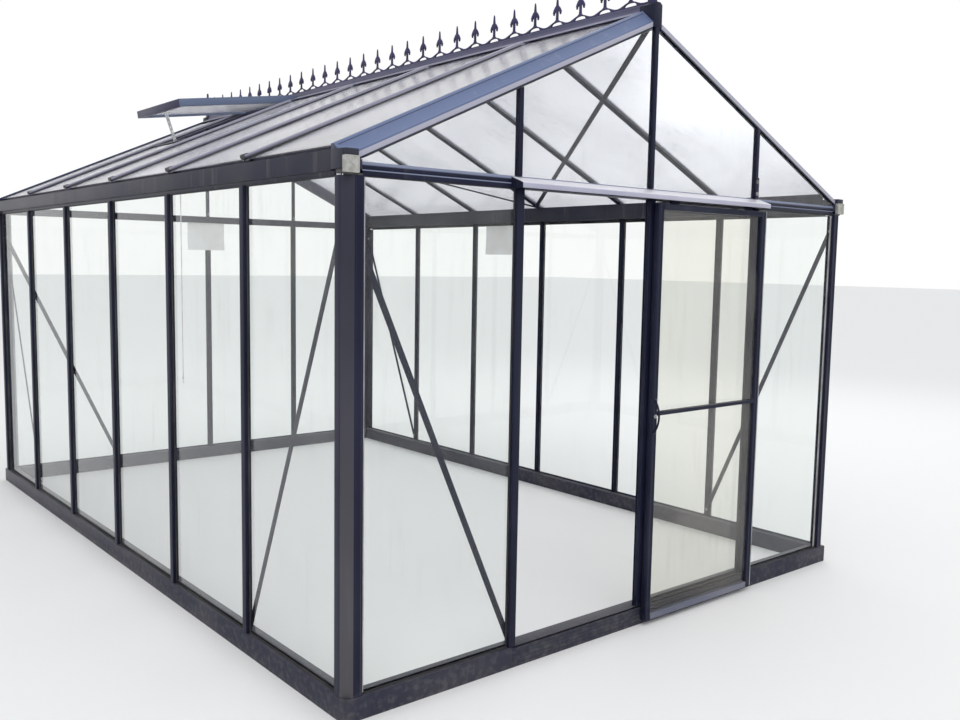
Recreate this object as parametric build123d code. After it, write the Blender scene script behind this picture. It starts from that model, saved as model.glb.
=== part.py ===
from build123d import *
import math
import os

# Driving dimensions, in millimetres. Front is -Y, the ground is z = 0,
# and the origin is at the middle of the footprint.
bay = 744.0                  # glass width plus one glazing bar
bays_wide = 4
bays_long = 6
roof_pitch = 24.5            # degrees
base_height = 84.0
base_out = 14.0              # how far the base stands out of the wall face
base_in = 57.0
beam_bottom = 1842.0         # head of the wall glass
eave_rise = 106.0            # from the beams up to the outer roof surface
eave_outer_z = beam_bottom + eave_rise
glass_thickness = 4.0

# Glazing bar section, depths counted inwards from the outer face
cap_width = 36.0
cap_thickness = 7.0          # from the wall face in to the glass
nose_out = 12.0              # how far a wall bar stands out of the wall face
roof_nose = 10.0             # the same for a roof bar
gable_cap = 22.0             # width of the lighter bars in the gables
gable_nose = 5.0
web_width = 8.0
seat_thickness = 4.0
body_width = 22.0
bar_depth = 20.0
bar_edge = 2.5               # chamfer along the nose
slot_width = 8.0             # bolt slot in the inner face
slot_depth = 3.0
pane_play = 2.0              # room at each side of a pane

# Corner post
chamfer_leg = 34.0
corner_width = 58.0
corner_rib = 40.0            # reach of the rib that carries the braces
rebate_depth = 10.0

# Base, sill and beams
base_edge = 3.0
sill_height = 10.0
sill_margin = 3.0            # from the inner face of a bar to that of a sill
sill_depth = bar_depth - sill_margin
sill_lip = 2.0
tie_height = 46.0
tie_depth = 34.0
tie_shoulder = 12.0          # height of the sloped shoulder of a beam
tie_lip = 2.0
tie_groove = 3.0             # groove along the front of a beam
tie_groove_low = 20.0
glass_bite = 12.0            # how far a pane goes into a beam

# Eave gutter
gutter_out = 16.0
gutter_bottom = beam_bottom + 16
gutter_top = eave_outer_z - 23
gutter_wall = 4.0
gutter_floor = gutter_bottom + 30
gutter_inner = 34.0
gutter_block = 59.0          # width of the block at each end of a gutter
eave_depth = 50.0
eave_box_bottom = beam_bottom + 20
end_cap_size = 55.0
end_cap_out = 17.0
end_cap_top = gutter_top - 22
end_cap_edge = 3.0
end_cap_lap = 2.0            # past the side of the gutter
stop_end_out = 12.0
stop_end_inset = 6.0
stop_end_lip = 2.0

# Verge rafter
verge_rise = 3.0
verge_slope_in = 58.0        # reach of the sloped outer face
verge_band_top = 45.0        # depths of the upright band below it
verge_band_low = 66.0
verge_bottom = 72.0
verge_foot = 22.0            # width of the foot that stands on the gable glass
verge_inner = 76.0
verge_seat = 12.0            # how far the roof glass goes into the rafter

# Ridge
ridge_half = 22.0
ridge_drop = 81.0            # below and above the peak of the outer roof surface
ridge_rise = 22.0
ridge_edge = 6.0
ridge_top_half = 12.0
wing_reach = 60.0
wing_thickness = 3.0
ridge_block_half = 25.0
ridge_block_out = 4.0

# Cresting along the ridge
crests_per_bay = 5
crest_thickness = 7.0
crest_rail = 8.0
arch_valley = 11.0
arch_crown = 30.0
arch_hole_half = 36.0
arch_hole_height = 15.0
arch_steps = 5
foot_half = 15.0
spear_height = 137.0
end_finial_scale = 1.4
end_finial_thickness = 14.0
end_finial_inset = 30.0

# Roof vent on the left slope
vent_bay = 4                 # counted from the front, the first is 0
vent_open_pitch = 8.5        # degrees below level as it stands open
vent_length = 790.0
vent_gap = 6.0               # from the caps of the bars and from the ridge
vent_rail = 30.0
vent_thickness = 45.0
vent_hinge_drop = 58.0       # from the top of the ridge to the underside of the vent
hinge_bead_in = 8.0
hinge_bead_low = 4.0
hinge_bead_high = 6.0
vent_pane_low = 8.0
vent_bite = 8.0
vent_sill_x = 785.0          # from the wall face
vent_sill_width = 30.0
vent_sill_depth = 20.0
stay_width = 20.0
stay_thickness = 4.0
stay_top_in = 49.3           # from the outer end of the vent
stay_foot_x = vent_sill_x + 3
stay_holes = 5
stay_hole_radius = 3.5
stay_overrun = 0.2           # share cut off again at each end

# Pull cord under the vent
cord_radius = 3.0
cord_length = 1480.0
cord_x = 820.0               # from the wall face
cord_drop = 50.0             # from the roof surface to the top of the cord
clip_half = 6.0
clip_height = 34.0
clip_reach = 40.0
knot_half = 8.0
knot_height = 17.0
knot_edge = 3.0
tail_length = 45.0
tail_half = 2.0
tail_lean = 14.0

# Braces
brace_width = 25.0
brace_thickness = 3.0
brace_start = 27.0           # from the corner of the walls
brace_foot_z = 118.0
end_brace_top = 1700.0       # on the front and rear walls
side_brace_top = 1778.0      # higher, so that two can share a corner post
brace_meeting = 4.0
brace_verge_gap = 4.0        # how far a roof brace runs under the verge rafter

# Sliding door on the front
door_width = 770.0
door_bottom = 24.0
door_head_gap = 16.0         # from the top of the door to the beam
door_top = beam_bottom - door_head_gap
door_back = 20.0             # from the wall face to the back of the door
door_depth = 28.0
door_travel = 757.0
stile_width = 34.0
top_rail_height = 24.0
bottom_rail_height = 26.0
mid_rail_height = 16.0
mid_rail_z = 935.0
mid_web = 2.0                # metal left between the panes in the middle rail
door_edge = 4.0
door_pane_in = 12.0          # from the back of the door to its glass
door_rebate = 8.0
handle_spacing = 134.0
handle_z = 926.0
handle_out = 22.0
handle_radius = 4.5
handle_steps = 6
rose_radius = 9.0
rose_thickness = 3.0
lock_radius = 9.0
lock_out = 4.0

# Door track and its running gear, with depths counted out of the wall face
track_left = 41.0            # past the bar at the left of the doorway
track_right = 14.0           # past the open door
track_out = 62.0
track_wall = 3.0
track_bottom = beam_bottom
track_height = 42.0
track_top = track_bottom + track_height
track_nose = 20.0
track_lip = 2.0              # how far the nose leans back at its top
track_foot = 3.0
shelf_rise = 1.0
shelf_z = track_bottom + shelf_rise
shelf_out = 22.0
wheel_radius = 11.0
wheel_thickness = 9.0
wheel_out = 12.0
wheel_gap = 0.3
axle_radius = 3.0
hanger_width = 60.0
hanger_out = 28.0
hanger_thickness = 3.0
hanger_height = 42.0
foot_out = 24.0
foot_depth = 20.0
hanger_inset = 120.0

# Threshold
threshold_depth = 9.0
threshold_drop = 8.0         # from the top of the base
threshold_inset = 1.0
groove_depth = 3.0
groove_count = 4

# Worked out from the sizes above
half_w = bays_wide * bay / 2
half_l = bays_long * bay / 2
pitch = math.radians(roof_pitch)
peak_z = eave_outer_z + half_w * math.tan(pitch)
ridge_bottom = peak_z - ridge_drop
ridge_top = peak_z + ridge_rise
vent_hinge_z = ridge_top - vent_hinge_drop
glass_out = cap_thickness
glass_in = cap_thickness + glass_thickness
seat_in = glass_in + seat_thickness
front_stations = [(k - bays_wide / 2) * bay for k in range(bays_wide + 1)]
side_stations = [(k - bays_long / 2) * bay for k in range(bays_long + 1)]
os.makedirs("parts", exist_ok=True)


def save(name, *solids):
    """Write one node from one or more solids that do not touch."""
    shape = Compound(children=list(solids)) if len(solids) > 1 else solids[0]
    export_step(shape, f"parts/{name}.step")


def prism(plane, points, length):
    """Prism from a flat outline, whichever way round its points run."""
    pairs = zip(points, points[1:] + points[:1])
    turn = sum(x0 * y1 - x1 * y0 for (x0, y0), (x1, y1) in pairs)
    ordered = points if turn > 0 else points[::-1]
    return extrude(plane * Polygon(*ordered, align=None), amount=length)


def upright(points, z0, z1):
    """Prism over a plan outline."""
    return prism(Plane.XY.offset(z0), points, z1 - z0)


def along_x(points, x0, x1):
    """Prism over an outline of (y, z) points."""
    return prism(Plane.YZ.offset(x0), points, x1 - x0)


def along_y(points, y0, y1):
    """Prism over an outline of (x, z) points."""
    start = Plane(origin=(0, y0, 0), x_dir=(-1, 0, 0), z_dir=(0, 1, 0))
    return prism(start, [(-x, z) for x, z in points], y1 - y0)


def block(x0, x1, y0, y1, z0, z1):
    return upright([(x0, y0), (x1, y0), (x1, y1), (x0, y1)], z0, z1)


def to_rear(shape):
    return mirror(shape, about=Plane.XZ)


def to_right(shape):
    return mirror(shape, about=Plane.YZ)


# Places on a wall: x runs along it, y goes inwards from its outer face
front_wall = Location((0, -half_l, 0))
left_wall = Location((-half_w, 0, 0), (0, 0, -90))


def front_line(out):
    """y of a plane that lies out in front of the front wall face."""
    return -half_l - out


def roof_z(x, depth=0.0):
    """Height of a roof layer above a point x in from the wall face."""
    return eave_outer_z + x * math.tan(pitch) - depth / math.cos(pitch)


def slope_at(x, depth):
    """Distance up the slope of a point x in from the wall face."""
    return (x - depth * math.sin(pitch)) / math.cos(pitch)


def on_slope(y):
    """Place on the left slope: x to the front, y into the roof, z up the slope."""
    up = (math.cos(pitch), 0, math.sin(pitch))
    return Plane(origin=(-half_w, y, eave_outer_z), x_dir=(0, -1, 0), z_dir=up)


def slope_prism(points, s0, s1, y=0.0):
    """Prism up the left slope over an outline of (across, depth) points."""
    return prism(on_slope(y).offset(s0), points, s1 - s0)


# Glazing bar section, as (across, depth) points
def bar_head(nose=nose_out, width=cap_width):
    """Nose, web and seat, which hold the glass."""
    half_cap = width / 2
    half_web = web_width / 2
    right = [
        (half_cap - bar_edge, -nose),
        (half_cap, bar_edge - nose),
        (half_cap, glass_out),
        (half_web, glass_out),
        (half_web, glass_in),
        (half_cap, glass_in),
        (half_cap, seat_in),
    ]
    return right + [(-x, d) for x, d in reversed(right)]


def bar_section(head=True, nose=nose_out, width=cap_width):
    """The whole bar, or only its seat and body."""
    half_cap = width / 2
    half_body = min(body_width, width - bar_edge) / 2
    half_slot = slot_width / 2
    body = [
        (half_cap, seat_in),
        (half_body, seat_in),
        (half_body, bar_depth),
        (half_slot, bar_depth),
        (half_slot, bar_depth - slot_depth),
    ]
    top = bar_head(nose, width)[:6] if head else [(half_cap, glass_in)]
    right = top + body
    return right + [(-x, d) for x, d in reversed(right)]


def wall_post(along, z0, z1, body_top=None):
    """Glazing bar standing in a wall."""
    post = upright(bar_section(), z0, z1)
    if body_top:
        post = post + upright(bar_section(head=False), z1, body_top)
    return Pos(along, 0, 0) * post


# Base rails with mitred corners
def base_section():
    """Base outline as (outwards, z) points."""
    return [
        (-base_in, 0),
        (base_out, 0),
        (base_out, base_height - base_edge),
        (base_out - base_edge, base_height),
        (-base_in, base_height),
    ]


threshold_left = front_stations[1]
threshold_right = front_stations[3]
outer_x = half_w + base_out
outer_y = half_l + base_out
mitre_out = base_out + 20
mitre_in = base_in + 20
wide_x = half_w + mitre_out
wide_y = half_l + mitre_out
near_x = half_w - mitre_in
near_y = half_l - mitre_in
front_mitre = upright(
    [(-wide_x, -wide_y), (wide_x, -wide_y), (near_x, -near_y), (-near_x, -near_y)],
    -1, base_height + 1)
left_mitre = upright(
    [(-wide_x, -wide_y), (-near_x, -near_y), (-near_x, near_y), (-wide_x, wide_y)],
    -1, base_height + 1)
front_rail = along_x([(-half_l - w, z) for w, z in base_section()], -outer_x, outer_x)
front_rail = front_rail & front_mitre
rear_rail = to_rear(front_rail)
left_rail = along_y([(-half_w - w, z) for w, z in base_section()], -outer_y, outer_y)
left_rail = left_rail & left_mitre
threshold_in = base_out - threshold_depth
threshold_top = base_height - threshold_drop
recess = block(threshold_left, threshold_right, front_line(base_out + 1),
               front_line(threshold_in), -1, threshold_top)
step = block(threshold_left, threshold_right, front_line(base_out + 1),
             front_line(threshold_in), threshold_top, base_height - 1)
front_rail = front_rail - recess - step
save("base_rails_ends", front_rail, rear_rail)
save("base_rails_sides", left_rail, to_right(left_rail))


def threshold_section():
    """Ribbed threshold outline as (y, z) points."""
    face = front_line(base_out - threshold_inset)
    floor = face + groove_depth
    back = front_line(threshold_in)
    rib = threshold_top / (2 * groove_count + 1)
    points = [(back, 0), (face, 0)]
    for groove in range(groove_count):
        low = (2 * groove + 1) * rib
        points += [(face, low), (floor, low + 1), (floor, low + rib - 1), (face, low + rib)]
    return points + [(face, threshold_top), (back, threshold_top)]


save("door_threshold", along_x(threshold_section(), threshold_left, threshold_right))


# Corner posts, chamfered outside and rebated for the glass
def corner_section():
    """Front left post, with x and y going inwards from both wall faces."""
    rebate = corner_width - rebate_depth
    half = [
        (chamfer_leg - nose_out, -nose_out),
        (corner_width, -nose_out),
        (corner_width, glass_out),
        (rebate, glass_out),
        (rebate, glass_in),
        (corner_width, glass_in),
        (corner_width, seat_in),
        (corner_rib, seat_in),
        (corner_rib, bar_depth),
    ]
    return half + [(bar_depth, bar_depth)] + [(y, x) for x, y in reversed(half)]


corner_post = Pos(-half_w, -half_l, 0) * upright(corner_section(), base_height, beam_bottom)
corner_top = Pos(-half_w, -half_l, 0) * upright(
    [(glass_in, glass_in), (corner_rib, glass_in), (corner_rib, bar_depth),
     (bar_depth, bar_depth), (bar_depth, corner_rib), (glass_in, corner_rib)],
    beam_bottom, eave_box_bottom)
corner_post = corner_post + corner_top
left_corners = [corner_post, to_rear(corner_post)]
save("corner_posts", *left_corners, *[to_right(post) for post in left_corners])

# Posts of the four walls
front_posts = [
    front_wall * wall_post(x, base_height, beam_bottom) for x in front_stations[1:-1]
]
left_posts = [
    left_wall * wall_post(y, base_height, beam_bottom, eave_box_bottom)
    for y in side_stations[1:-1]
]
save("end_wall_posts", *front_posts, *[to_rear(post) for post in front_posts])
save("side_wall_posts", *left_posts, *[to_right(post) for post in left_posts])


# Low sills behind the foot of the glass in each glazed bay
def bay_edges(stations, index, post_half, corner):
    """Clear ends of one bay between its posts."""
    low = stations[index] + (corner if index == 0 else post_half)
    high = stations[index + 1] - (corner if index == len(stations) - 2 else post_half)
    return low, high


def wall_sill(stations, index):
    top = base_height + sill_height
    low, high = bay_edges(stations, index, cap_width / 2, corner_width)
    section = [
        (glass_in, base_height),
        (sill_depth, base_height),
        (glass_in + sill_lip, top),
        (glass_in, top),
    ]
    return along_x(section, low, high)


door_bay = 1
front_sills = [
    front_wall * wall_sill(front_stations, i) for i in range(bays_wide) if i != door_bay
]
rear_sills = [
    to_rear(front_wall * wall_sill(front_stations, i)) for i in range(bays_wide)
]
left_sills = [left_wall * wall_sill(side_stations, i) for i in range(bays_long)]
right_sills = [to_right(sill) for sill in left_sills]
save("end_wall_sills", *front_sills, *rear_sills)
save("side_wall_sills", *left_sills, *right_sills)


# Glass of the walls
def wall_pane(stations, index):
    top = beam_bottom + glass_bite
    side = web_width / 2 + pane_play
    corner = corner_width - rebate_depth + pane_play
    low, high = bay_edges(stations, index, side, corner)
    return block(low, high, glass_out, glass_in, base_height, top)


front_panes = [
    front_wall * wall_pane(front_stations, i) for i in range(bays_wide) if i != door_bay
]
rear_panes = [
    to_rear(front_wall * wall_pane(front_stations, i)) for i in range(bays_wide)
]
left_panes = [left_wall * wall_pane(side_stations, i) for i in range(bays_long)]
save("end_wall_glass", *front_panes, *rear_panes)
save("side_wall_glass", *left_panes, *[to_right(pane) for pane in left_panes])

# Tie beams across the two ends, slotted above and below for glass
tie_top = beam_bottom + tie_height
groove_top = beam_bottom + tie_groove_low + tie_groove
tie_section = [
    (0, beam_bottom),
    (glass_out, beam_bottom),
    (glass_out, beam_bottom + glass_bite),
    (glass_in, beam_bottom + glass_bite),
    (glass_in, beam_bottom),
    (tie_depth, beam_bottom),
    (tie_depth, tie_top),
    (glass_in, tie_top),
    (glass_in, tie_top - glass_bite),
    (glass_out, tie_top - glass_bite),
    (glass_out, tie_top),
    (glass_out - tie_lip, tie_top),
    (0, tie_top - tie_shoulder),
    (0, groove_top + tie_groove),
    (tie_groove, groove_top),
    (tie_groove, groove_top - tie_groove),
    (0, groove_top - 2 * tie_groove),
]
tie_beam = front_wall * along_x(tie_section, corner_width - half_w, half_w - corner_width)
save("tie_beams", tie_beam, to_rear(tie_beam))

# Eave gutters, which also carry the roof bars and hold the head of the glass
gutter_section = [
    (-gutter_out, gutter_bottom),
    (0, gutter_bottom),
    (0, beam_bottom),
    (glass_out, beam_bottom),
    (glass_out, beam_bottom + glass_bite + pane_play),
    (glass_in, beam_bottom + glass_bite + pane_play),
    (glass_in, eave_box_bottom),
    (eave_depth, eave_box_bottom),
    (eave_depth, roof_z(eave_depth, seat_in)),
    (gutter_inner, roof_z(gutter_inner, seat_in)),
    (gutter_inner, gutter_floor),
    (gutter_wall - gutter_out, gutter_floor),
    (gutter_wall - gutter_out, gutter_top),
    (-gutter_out, gutter_top),
]
gutter_run = half_l - verge_inner
left_gutter = Pos(-half_w, 0, 0) * along_y(gutter_section, -gutter_run, gutter_run)
save("eave_gutters", left_gutter, to_right(left_gutter))

# Corner blocks over the posts and the pale caps on the gutter ends
block_reach = gutter_block - gutter_out
block_section = [
    (-gutter_out, eave_box_bottom),
    (corner_width, eave_box_bottom),
    (corner_width, roof_z(corner_width, verge_bottom)),
    (block_reach, roof_z(block_reach, verge_bottom)),
    (block_reach, gutter_top),
    (-gutter_out, gutter_top),
]
corner_block = along_y(block_section, -half_l, -half_l + verge_inner)
stop_end = block(stop_end_lip - gutter_out, block_reach - stop_end_inset, front_line(stop_end_out),
                 -half_l, end_cap_top, gutter_top)
corner_block = Pos(-half_w, 0, 0) * (corner_block + stop_end)
left_blocks = [corner_block, to_rear(corner_block)]
save("eave_corner_blocks", *left_blocks, *[to_right(item) for item in left_blocks])
cap_left = -gutter_out - end_cap_lap
cap_right = cap_left + end_cap_size
end_cap = Pos(-half_w, 0, 0) * block(cap_left, cap_right, front_line(end_cap_out), -half_l,
                                     end_cap_top - end_cap_size, end_cap_top)
end_cap = fillet(end_cap.edges().filter_by(Axis.Y), end_cap_edge)
left_caps = [end_cap, to_rear(end_cap)]
save("gutter_end_caps", *left_caps, *[to_right(item) for item in left_caps])

# Verge rafters along both gables, as (inwards, depth) points: a sloped outer face,
# an upright band below it, and slots for the roof glass and the gable glass
verge_slot = verge_bottom - glass_bite - pane_play
verge_section = [
    (0, verge_band_top),
    (verge_slope_in, -verge_rise),
    (verge_inner, -verge_rise),
    (verge_inner, glass_out),
    (verge_inner - verge_seat, glass_out),
    (verge_inner - verge_seat, glass_in),
    (verge_inner, glass_in),
    (verge_inner, seat_in),
    (verge_foot, verge_bottom),
    (glass_in, verge_bottom),
    (glass_in, verge_slot),
    (glass_out, verge_slot),
    (glass_out, verge_band_low),
    (0, verge_band_low),
]
long_slope = slope_at(half_w + 60, 0)
verge = slope_prism([(-x, d) for x, d in verge_section], -60, long_slope, y=-half_l)
roof_limit = along_y(
    [(-half_w - gutter_out, gutter_top), (block_reach - half_w, gutter_top),
     (block_reach - half_w, beam_bottom),
     (-ridge_block_half, beam_bottom), (-ridge_block_half, ridge_top),
     (-half_w - gutter_out, ridge_top)],
    -half_l - 60, half_l + 60)
verge = verge & roof_limit
front_verges = [verge, to_right(verge)]
save("verge_rafters", *front_verges, *[to_rear(rafter) for rafter in front_verges])

# Gable posts and glass above the tie beams
gable_limit = along_y(
    [(-half_w, roof_z(0, verge_bottom)), (-half_w, tie_top), (half_w, tie_top),
     (half_w, roof_z(0, verge_bottom)),
     (ridge_block_half, roof_z(half_w - ridge_block_half, verge_bottom)),
     (ridge_block_half, ridge_bottom), (-ridge_block_half, ridge_bottom),
     (-ridge_block_half, roof_z(half_w - ridge_block_half, verge_bottom))],
    front_line(gable_nose + 1), -half_l + bar_depth + 1)
gable_bar = upright(bar_section(True, gable_nose, gable_cap), tie_top, ridge_top)
gable_posts = [
    (front_wall * Pos(x, 0, 0) * gable_bar) & gable_limit
    for x in front_stations[1:-1]
]
save("gable_posts", *gable_posts, *[to_rear(post) for post in gable_posts])
pane_line = verge_slot + pane_play
pane_top = ridge_bottom - pane_play
pane_peak = half_w - (roof_z(half_w, pane_line) - pane_top) / math.tan(pitch)
pane_low = tie_top - glass_bite + pane_play
pane_foot = corner_width + pane_play
gable_field = along_y(
    [(pane_foot - half_w, pane_low), (pane_foot - half_w, roof_z(pane_foot, pane_line)),
     (pane_peak - half_w, pane_top), (half_w - pane_peak, pane_top),
     (half_w - pane_foot, roof_z(pane_foot, pane_line)), (half_w - pane_foot, pane_low)],
    -half_l + glass_out, -half_l + glass_in)
gable_panes = []
for i in range(bays_wide):
    side = web_width / 2 + pane_play
    low, high = bay_edges(front_stations, i, side, 0)
    strip = block(low, high, -half_l, -half_l + bar_depth, tie_top - glass_bite, ridge_top)
    gable_panes.append(gable_field & strip)
save("gable_glass", *gable_panes, *[to_rear(pane) for pane in gable_panes])

# Roof bars, whose bodies stop at the gutter while the heads run over it
head_start = slope_at(0, 0)
body_start = slope_at(eave_depth, seat_in)
bar_end = slope_at(half_w, 0)
ridge_clear = block(-ridge_half, ridge_half, -half_l, half_l, gutter_top, ridge_top)
wing_x = ridge_half + wing_reach
nose_end = slope_at(half_w - wing_x, 0) - pane_play
left_bars = []
for y in side_stations[1:-1]:
    bar = slope_prism(bar_section(True, 0), body_start, bar_end, y)
    bar = bar + slope_prism(bar_head(0), head_start, body_start, y)
    bar = bar + slope_prism(bar_head(roof_nose), head_start, nose_end, y)
    left_bars.append(bar - ridge_clear)
save("roof_bars", *left_bars, *[to_right(bar) for bar in left_bars])


# Roof glass
def roof_pane(index, s0, s1):
    side = web_width / 2 + pane_play
    end = verge_inner - verge_seat + pane_play
    low, high = bay_edges(side_stations, index, side, end)
    middle = (low + high) / 2
    half = (high - low) / 2
    outline = [(-half, glass_out), (half, glass_out), (half, glass_in), (-half, glass_in)]
    return slope_prism(outline, s0, s1, middle)


pane_start = slope_at(10, glass_in)
pane_end = slope_at(half_w - ridge_block_half - pane_play, glass_in)
vent_sill_s = slope_at(vent_sill_x, 0)
vent_pane_end = vent_sill_s - vent_sill_width / 2 + rebate_depth - pane_play
right_roof = [to_right(roof_pane(i, pane_start, pane_end)) for i in range(bays_long)]
left_roof = []
for i in range(bays_long):
    top = vent_pane_end if i == vent_bay else pane_end
    left_roof.append(roof_pane(i, pane_start, top))
save("roof_glass", *left_roof, *right_roof)

# Ridge beam with a wing over the head of the glass on each side
ridge_right = [
    (ridge_half - ridge_edge, ridge_bottom),
    (ridge_half, ridge_bottom + ridge_edge),
    (ridge_half, roof_z(half_w - ridge_half)),
    (wing_x, roof_z(half_w - wing_x)),
    (wing_x + 1, roof_z(half_w - wing_x, -wing_thickness)),
    (ridge_half + 2, roof_z(half_w - ridge_half, -wing_thickness)),
    (ridge_top_half + 2, ridge_top - ridge_edge),
    (ridge_top_half, ridge_top),
]
ridge_section = ridge_right + [(-x, z) for x, z in reversed(ridge_right)]
ridge_run = half_l - verge_inner
vent_low_y = side_stations[vent_bay] + cap_width / 2
vent_high_y = side_stations[vent_bay + 1] - cap_width / 2
wing_cut = block(-wing_x - 10, -ridge_half, vent_low_y, vent_high_y,
                 ridge_bottom, ridge_top)
save("ridge_beam", along_y(ridge_section, -ridge_run, ridge_run) - wing_cut)
ridge_end = along_y(
    [(-ridge_block_half, ridge_bottom), (ridge_block_half, ridge_bottom),
     (ridge_block_half, ridge_top - 10), (ridge_top_half, ridge_top),
     (-ridge_top_half, ridge_top), (-ridge_block_half, ridge_top - 10)],
    front_line(ridge_block_out), -ridge_run)
save("ridge_end_caps", ridge_end, to_rear(ridge_end))


# Cresting: a pierced plate of arches with a spear and two leaves on each crown
crest_pitch = bay / crests_per_bay
crest_count = crests_per_bay * bays_long


def arch_height(share):
    """Height of the arch at a share of the way from its crown to the valley."""
    return arch_valley + (arch_crown - arch_valley) * math.cos(share * math.pi / 2) ** 2


def spear_outline():
    """Half of a spear with a drooping leaf, from its foot to its tip."""
    return [
        (foot_half, arch_height(2 * foot_half / crest_pitch)),
        (7, arch_crown + 5),
        (5, arch_crown + 16),
        (9, arch_crown + 25),
        (13, arch_crown + 33),
        (24, arch_crown + 33),
        (27, arch_crown + 39),
        (22, arch_crown + 51),
        (14, arch_crown + 62),
        (6.5, arch_crown + 68),
        (4.5, arch_crown + 80),
        (3, arch_crown + 96),
    ]


def crest_outline():
    """One line along the tops of all arches and spears."""
    spear = spear_outline()
    line = []
    for crest in range(1, crest_count):
        middle = (crest - crest_count / 2) * crest_pitch
        flank = []
        for i in range(arch_steps, 0, -1):
            across = i * crest_pitch / (2 * arch_steps)
            if across > foot_half:
                flank.append((across, arch_height(i / arch_steps)))
        half = flank + spear
        line += [(middle - x, ridge_top + z) for x, z in half]
        line.append((middle, ridge_top + spear_height))
        line += [(middle + x, ridge_top + z) for x, z in reversed(half[1:])]
    return line


crest_end = half_l - end_finial_inset - foot_half * end_finial_scale
valley_z = ridge_top + arch_valley
crest_line = crest_outline() + [(crest_pitch * (crest_count / 2 - 0.5), valley_z)]
crest_line += [(crest_end, valley_z), (crest_end, ridge_top)]
crest_line += [(-crest_end, ridge_top), (-crest_end, valley_z)]
cresting = along_x(crest_line, -crest_thickness / 2, crest_thickness / 2)
arch_holes = []
for crest in range(1, crest_count):
    middle = (crest - crest_count / 2) * crest_pitch
    hole = []
    for i in range(-arch_steps, arch_steps + 1):
        share = i / arch_steps
        rise = arch_hole_height * math.sqrt(1 - share ** 2)
        hole.append((middle + share * arch_hole_half, ridge_top + crest_rail + rise))
    arch_holes.append(along_x(hole, -crest_thickness, crest_thickness))
save("ridge_cresting", cresting - arch_holes)
end_half = [(x * end_finial_scale, (z - arch_valley) * end_finial_scale)
            for x, z in spear_outline()]
end_tip = (spear_height - arch_valley) * end_finial_scale
end_foot = end_half[0][0]
end_line = [(-end_foot, 0)] + [(-x, z) for x, z in end_half] + [(0, end_tip)]
end_line += [(x, z) for x, z in reversed(end_half)] + [(end_foot, 0)]
finial_y = half_l - end_finial_inset
front_finial = along_x([(y - finial_y, ridge_top + z) for y, z in end_line],
                       -end_finial_thickness / 2, end_finial_thickness / 2)
save("ridge_end_finials", front_finial, to_rear(front_finial))

# Roof vent, standing open
vent_low = vent_low_y + vent_gap
vent_high = vent_high_y - vent_gap
vent_middle = (vent_low + vent_high) / 2
vent_slant = math.radians(vent_open_pitch)
vent_inner_x = -ridge_half - vent_gap
vent_place = Plane(
    origin=(vent_inner_x, vent_middle, vent_hinge_z),
    x_dir=(0, -1, 0),
    z_dir=(-math.cos(vent_slant), 0, -math.sin(vent_slant)),
)


def vent_box(half, s0, s1, v0, v1):
    """Box in the vent: across, out along it, and up from its underside."""
    return prism(vent_place.offset(s0), [(-half, v0), (half, v0), (half, v1), (-half, v1)],
                 s1 - s0)


vent_half = (vent_high - vent_low) / 2
inside_half = vent_half - vent_rail
pane_half = inside_half + vent_bite
pane_top_v = vent_pane_low + glass_thickness
vent_frame = vent_box(vent_half, 0, vent_length, 0, vent_thickness)
vent_frame = vent_frame - vent_box(inside_half, vent_rail, vent_length - vent_rail,
                                   -1, vent_thickness + 1)
vent_frame = vent_frame - vent_box(pane_half, vent_rail - vent_bite,
                                   vent_length - vent_rail + vent_bite,
                                   vent_pane_low, pane_top_v)
bead_top = vent_hinge_z + vent_thickness - hinge_bead_high
hinge_bead = along_y(
    [(-ridge_half, vent_hinge_z + hinge_bead_low), (-ridge_half, bead_top),
     (vent_inner_x - hinge_bead_in, bead_top),
     (vent_inner_x - hinge_bead_in, vent_hinge_z + hinge_bead_low)],
    vent_low, vent_high)
save("vent_frame", vent_frame + hinge_bead)
save("vent_glass", vent_box(pane_half - pane_play, vent_rail - vent_bite + pane_play,
                            vent_length - vent_rail + vent_bite - pane_play,
                            vent_pane_low, pane_top_v))

# Sill bar under the vent, which holds the head of the short pane below it
sill_half = bay / 2 - cap_width / 2
sill_s0 = vent_sill_s - vent_sill_width / 2
sill_s1 = vent_sill_s + vent_sill_width / 2
sill_box = [(-sill_half, 0), (sill_half, 0), (sill_half, vent_sill_depth),
            (-sill_half, vent_sill_depth)]
sill_groove = [(-sill_half - 1, glass_out), (sill_half + 1, glass_out),
               (sill_half + 1, glass_in), (-sill_half - 1, glass_in)]
sill_bar = slope_prism(sill_box, sill_s0, sill_s1, vent_middle)
sill_bar = sill_bar - slope_prism(sill_groove, sill_s0 - 1, sill_s0 + rebate_depth, vent_middle)
save("vent_sill_bar", sill_bar)

# Stay that holds the vent open, from the sill bar up to the vent
stay_foot = (stay_foot_x - half_w, roof_z(stay_foot_x))
stay_head_x = vent_inner_x - vent_length * math.cos(vent_slant) + stay_top_in
stay_head = (stay_head_x,
             vent_hinge_z - (vent_inner_x - stay_head_x) * math.tan(vent_slant))
stay_run = stay_head[0] - stay_foot[0]
stay_rise = stay_head[1] - stay_foot[1]
stay_length = math.hypot(stay_run, stay_rise)
side_x = stay_width / 2 * stay_rise / stay_length
side_z = -stay_width / 2 * stay_run / stay_length


def stay_point(share, side):
    """Point in the plane of the stay, beyond its ends where share is outside 0 to 1."""
    return (stay_foot[0] + share * stay_run + side * side_x,
            stay_foot[1] + share * stay_rise + side * side_z)


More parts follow.
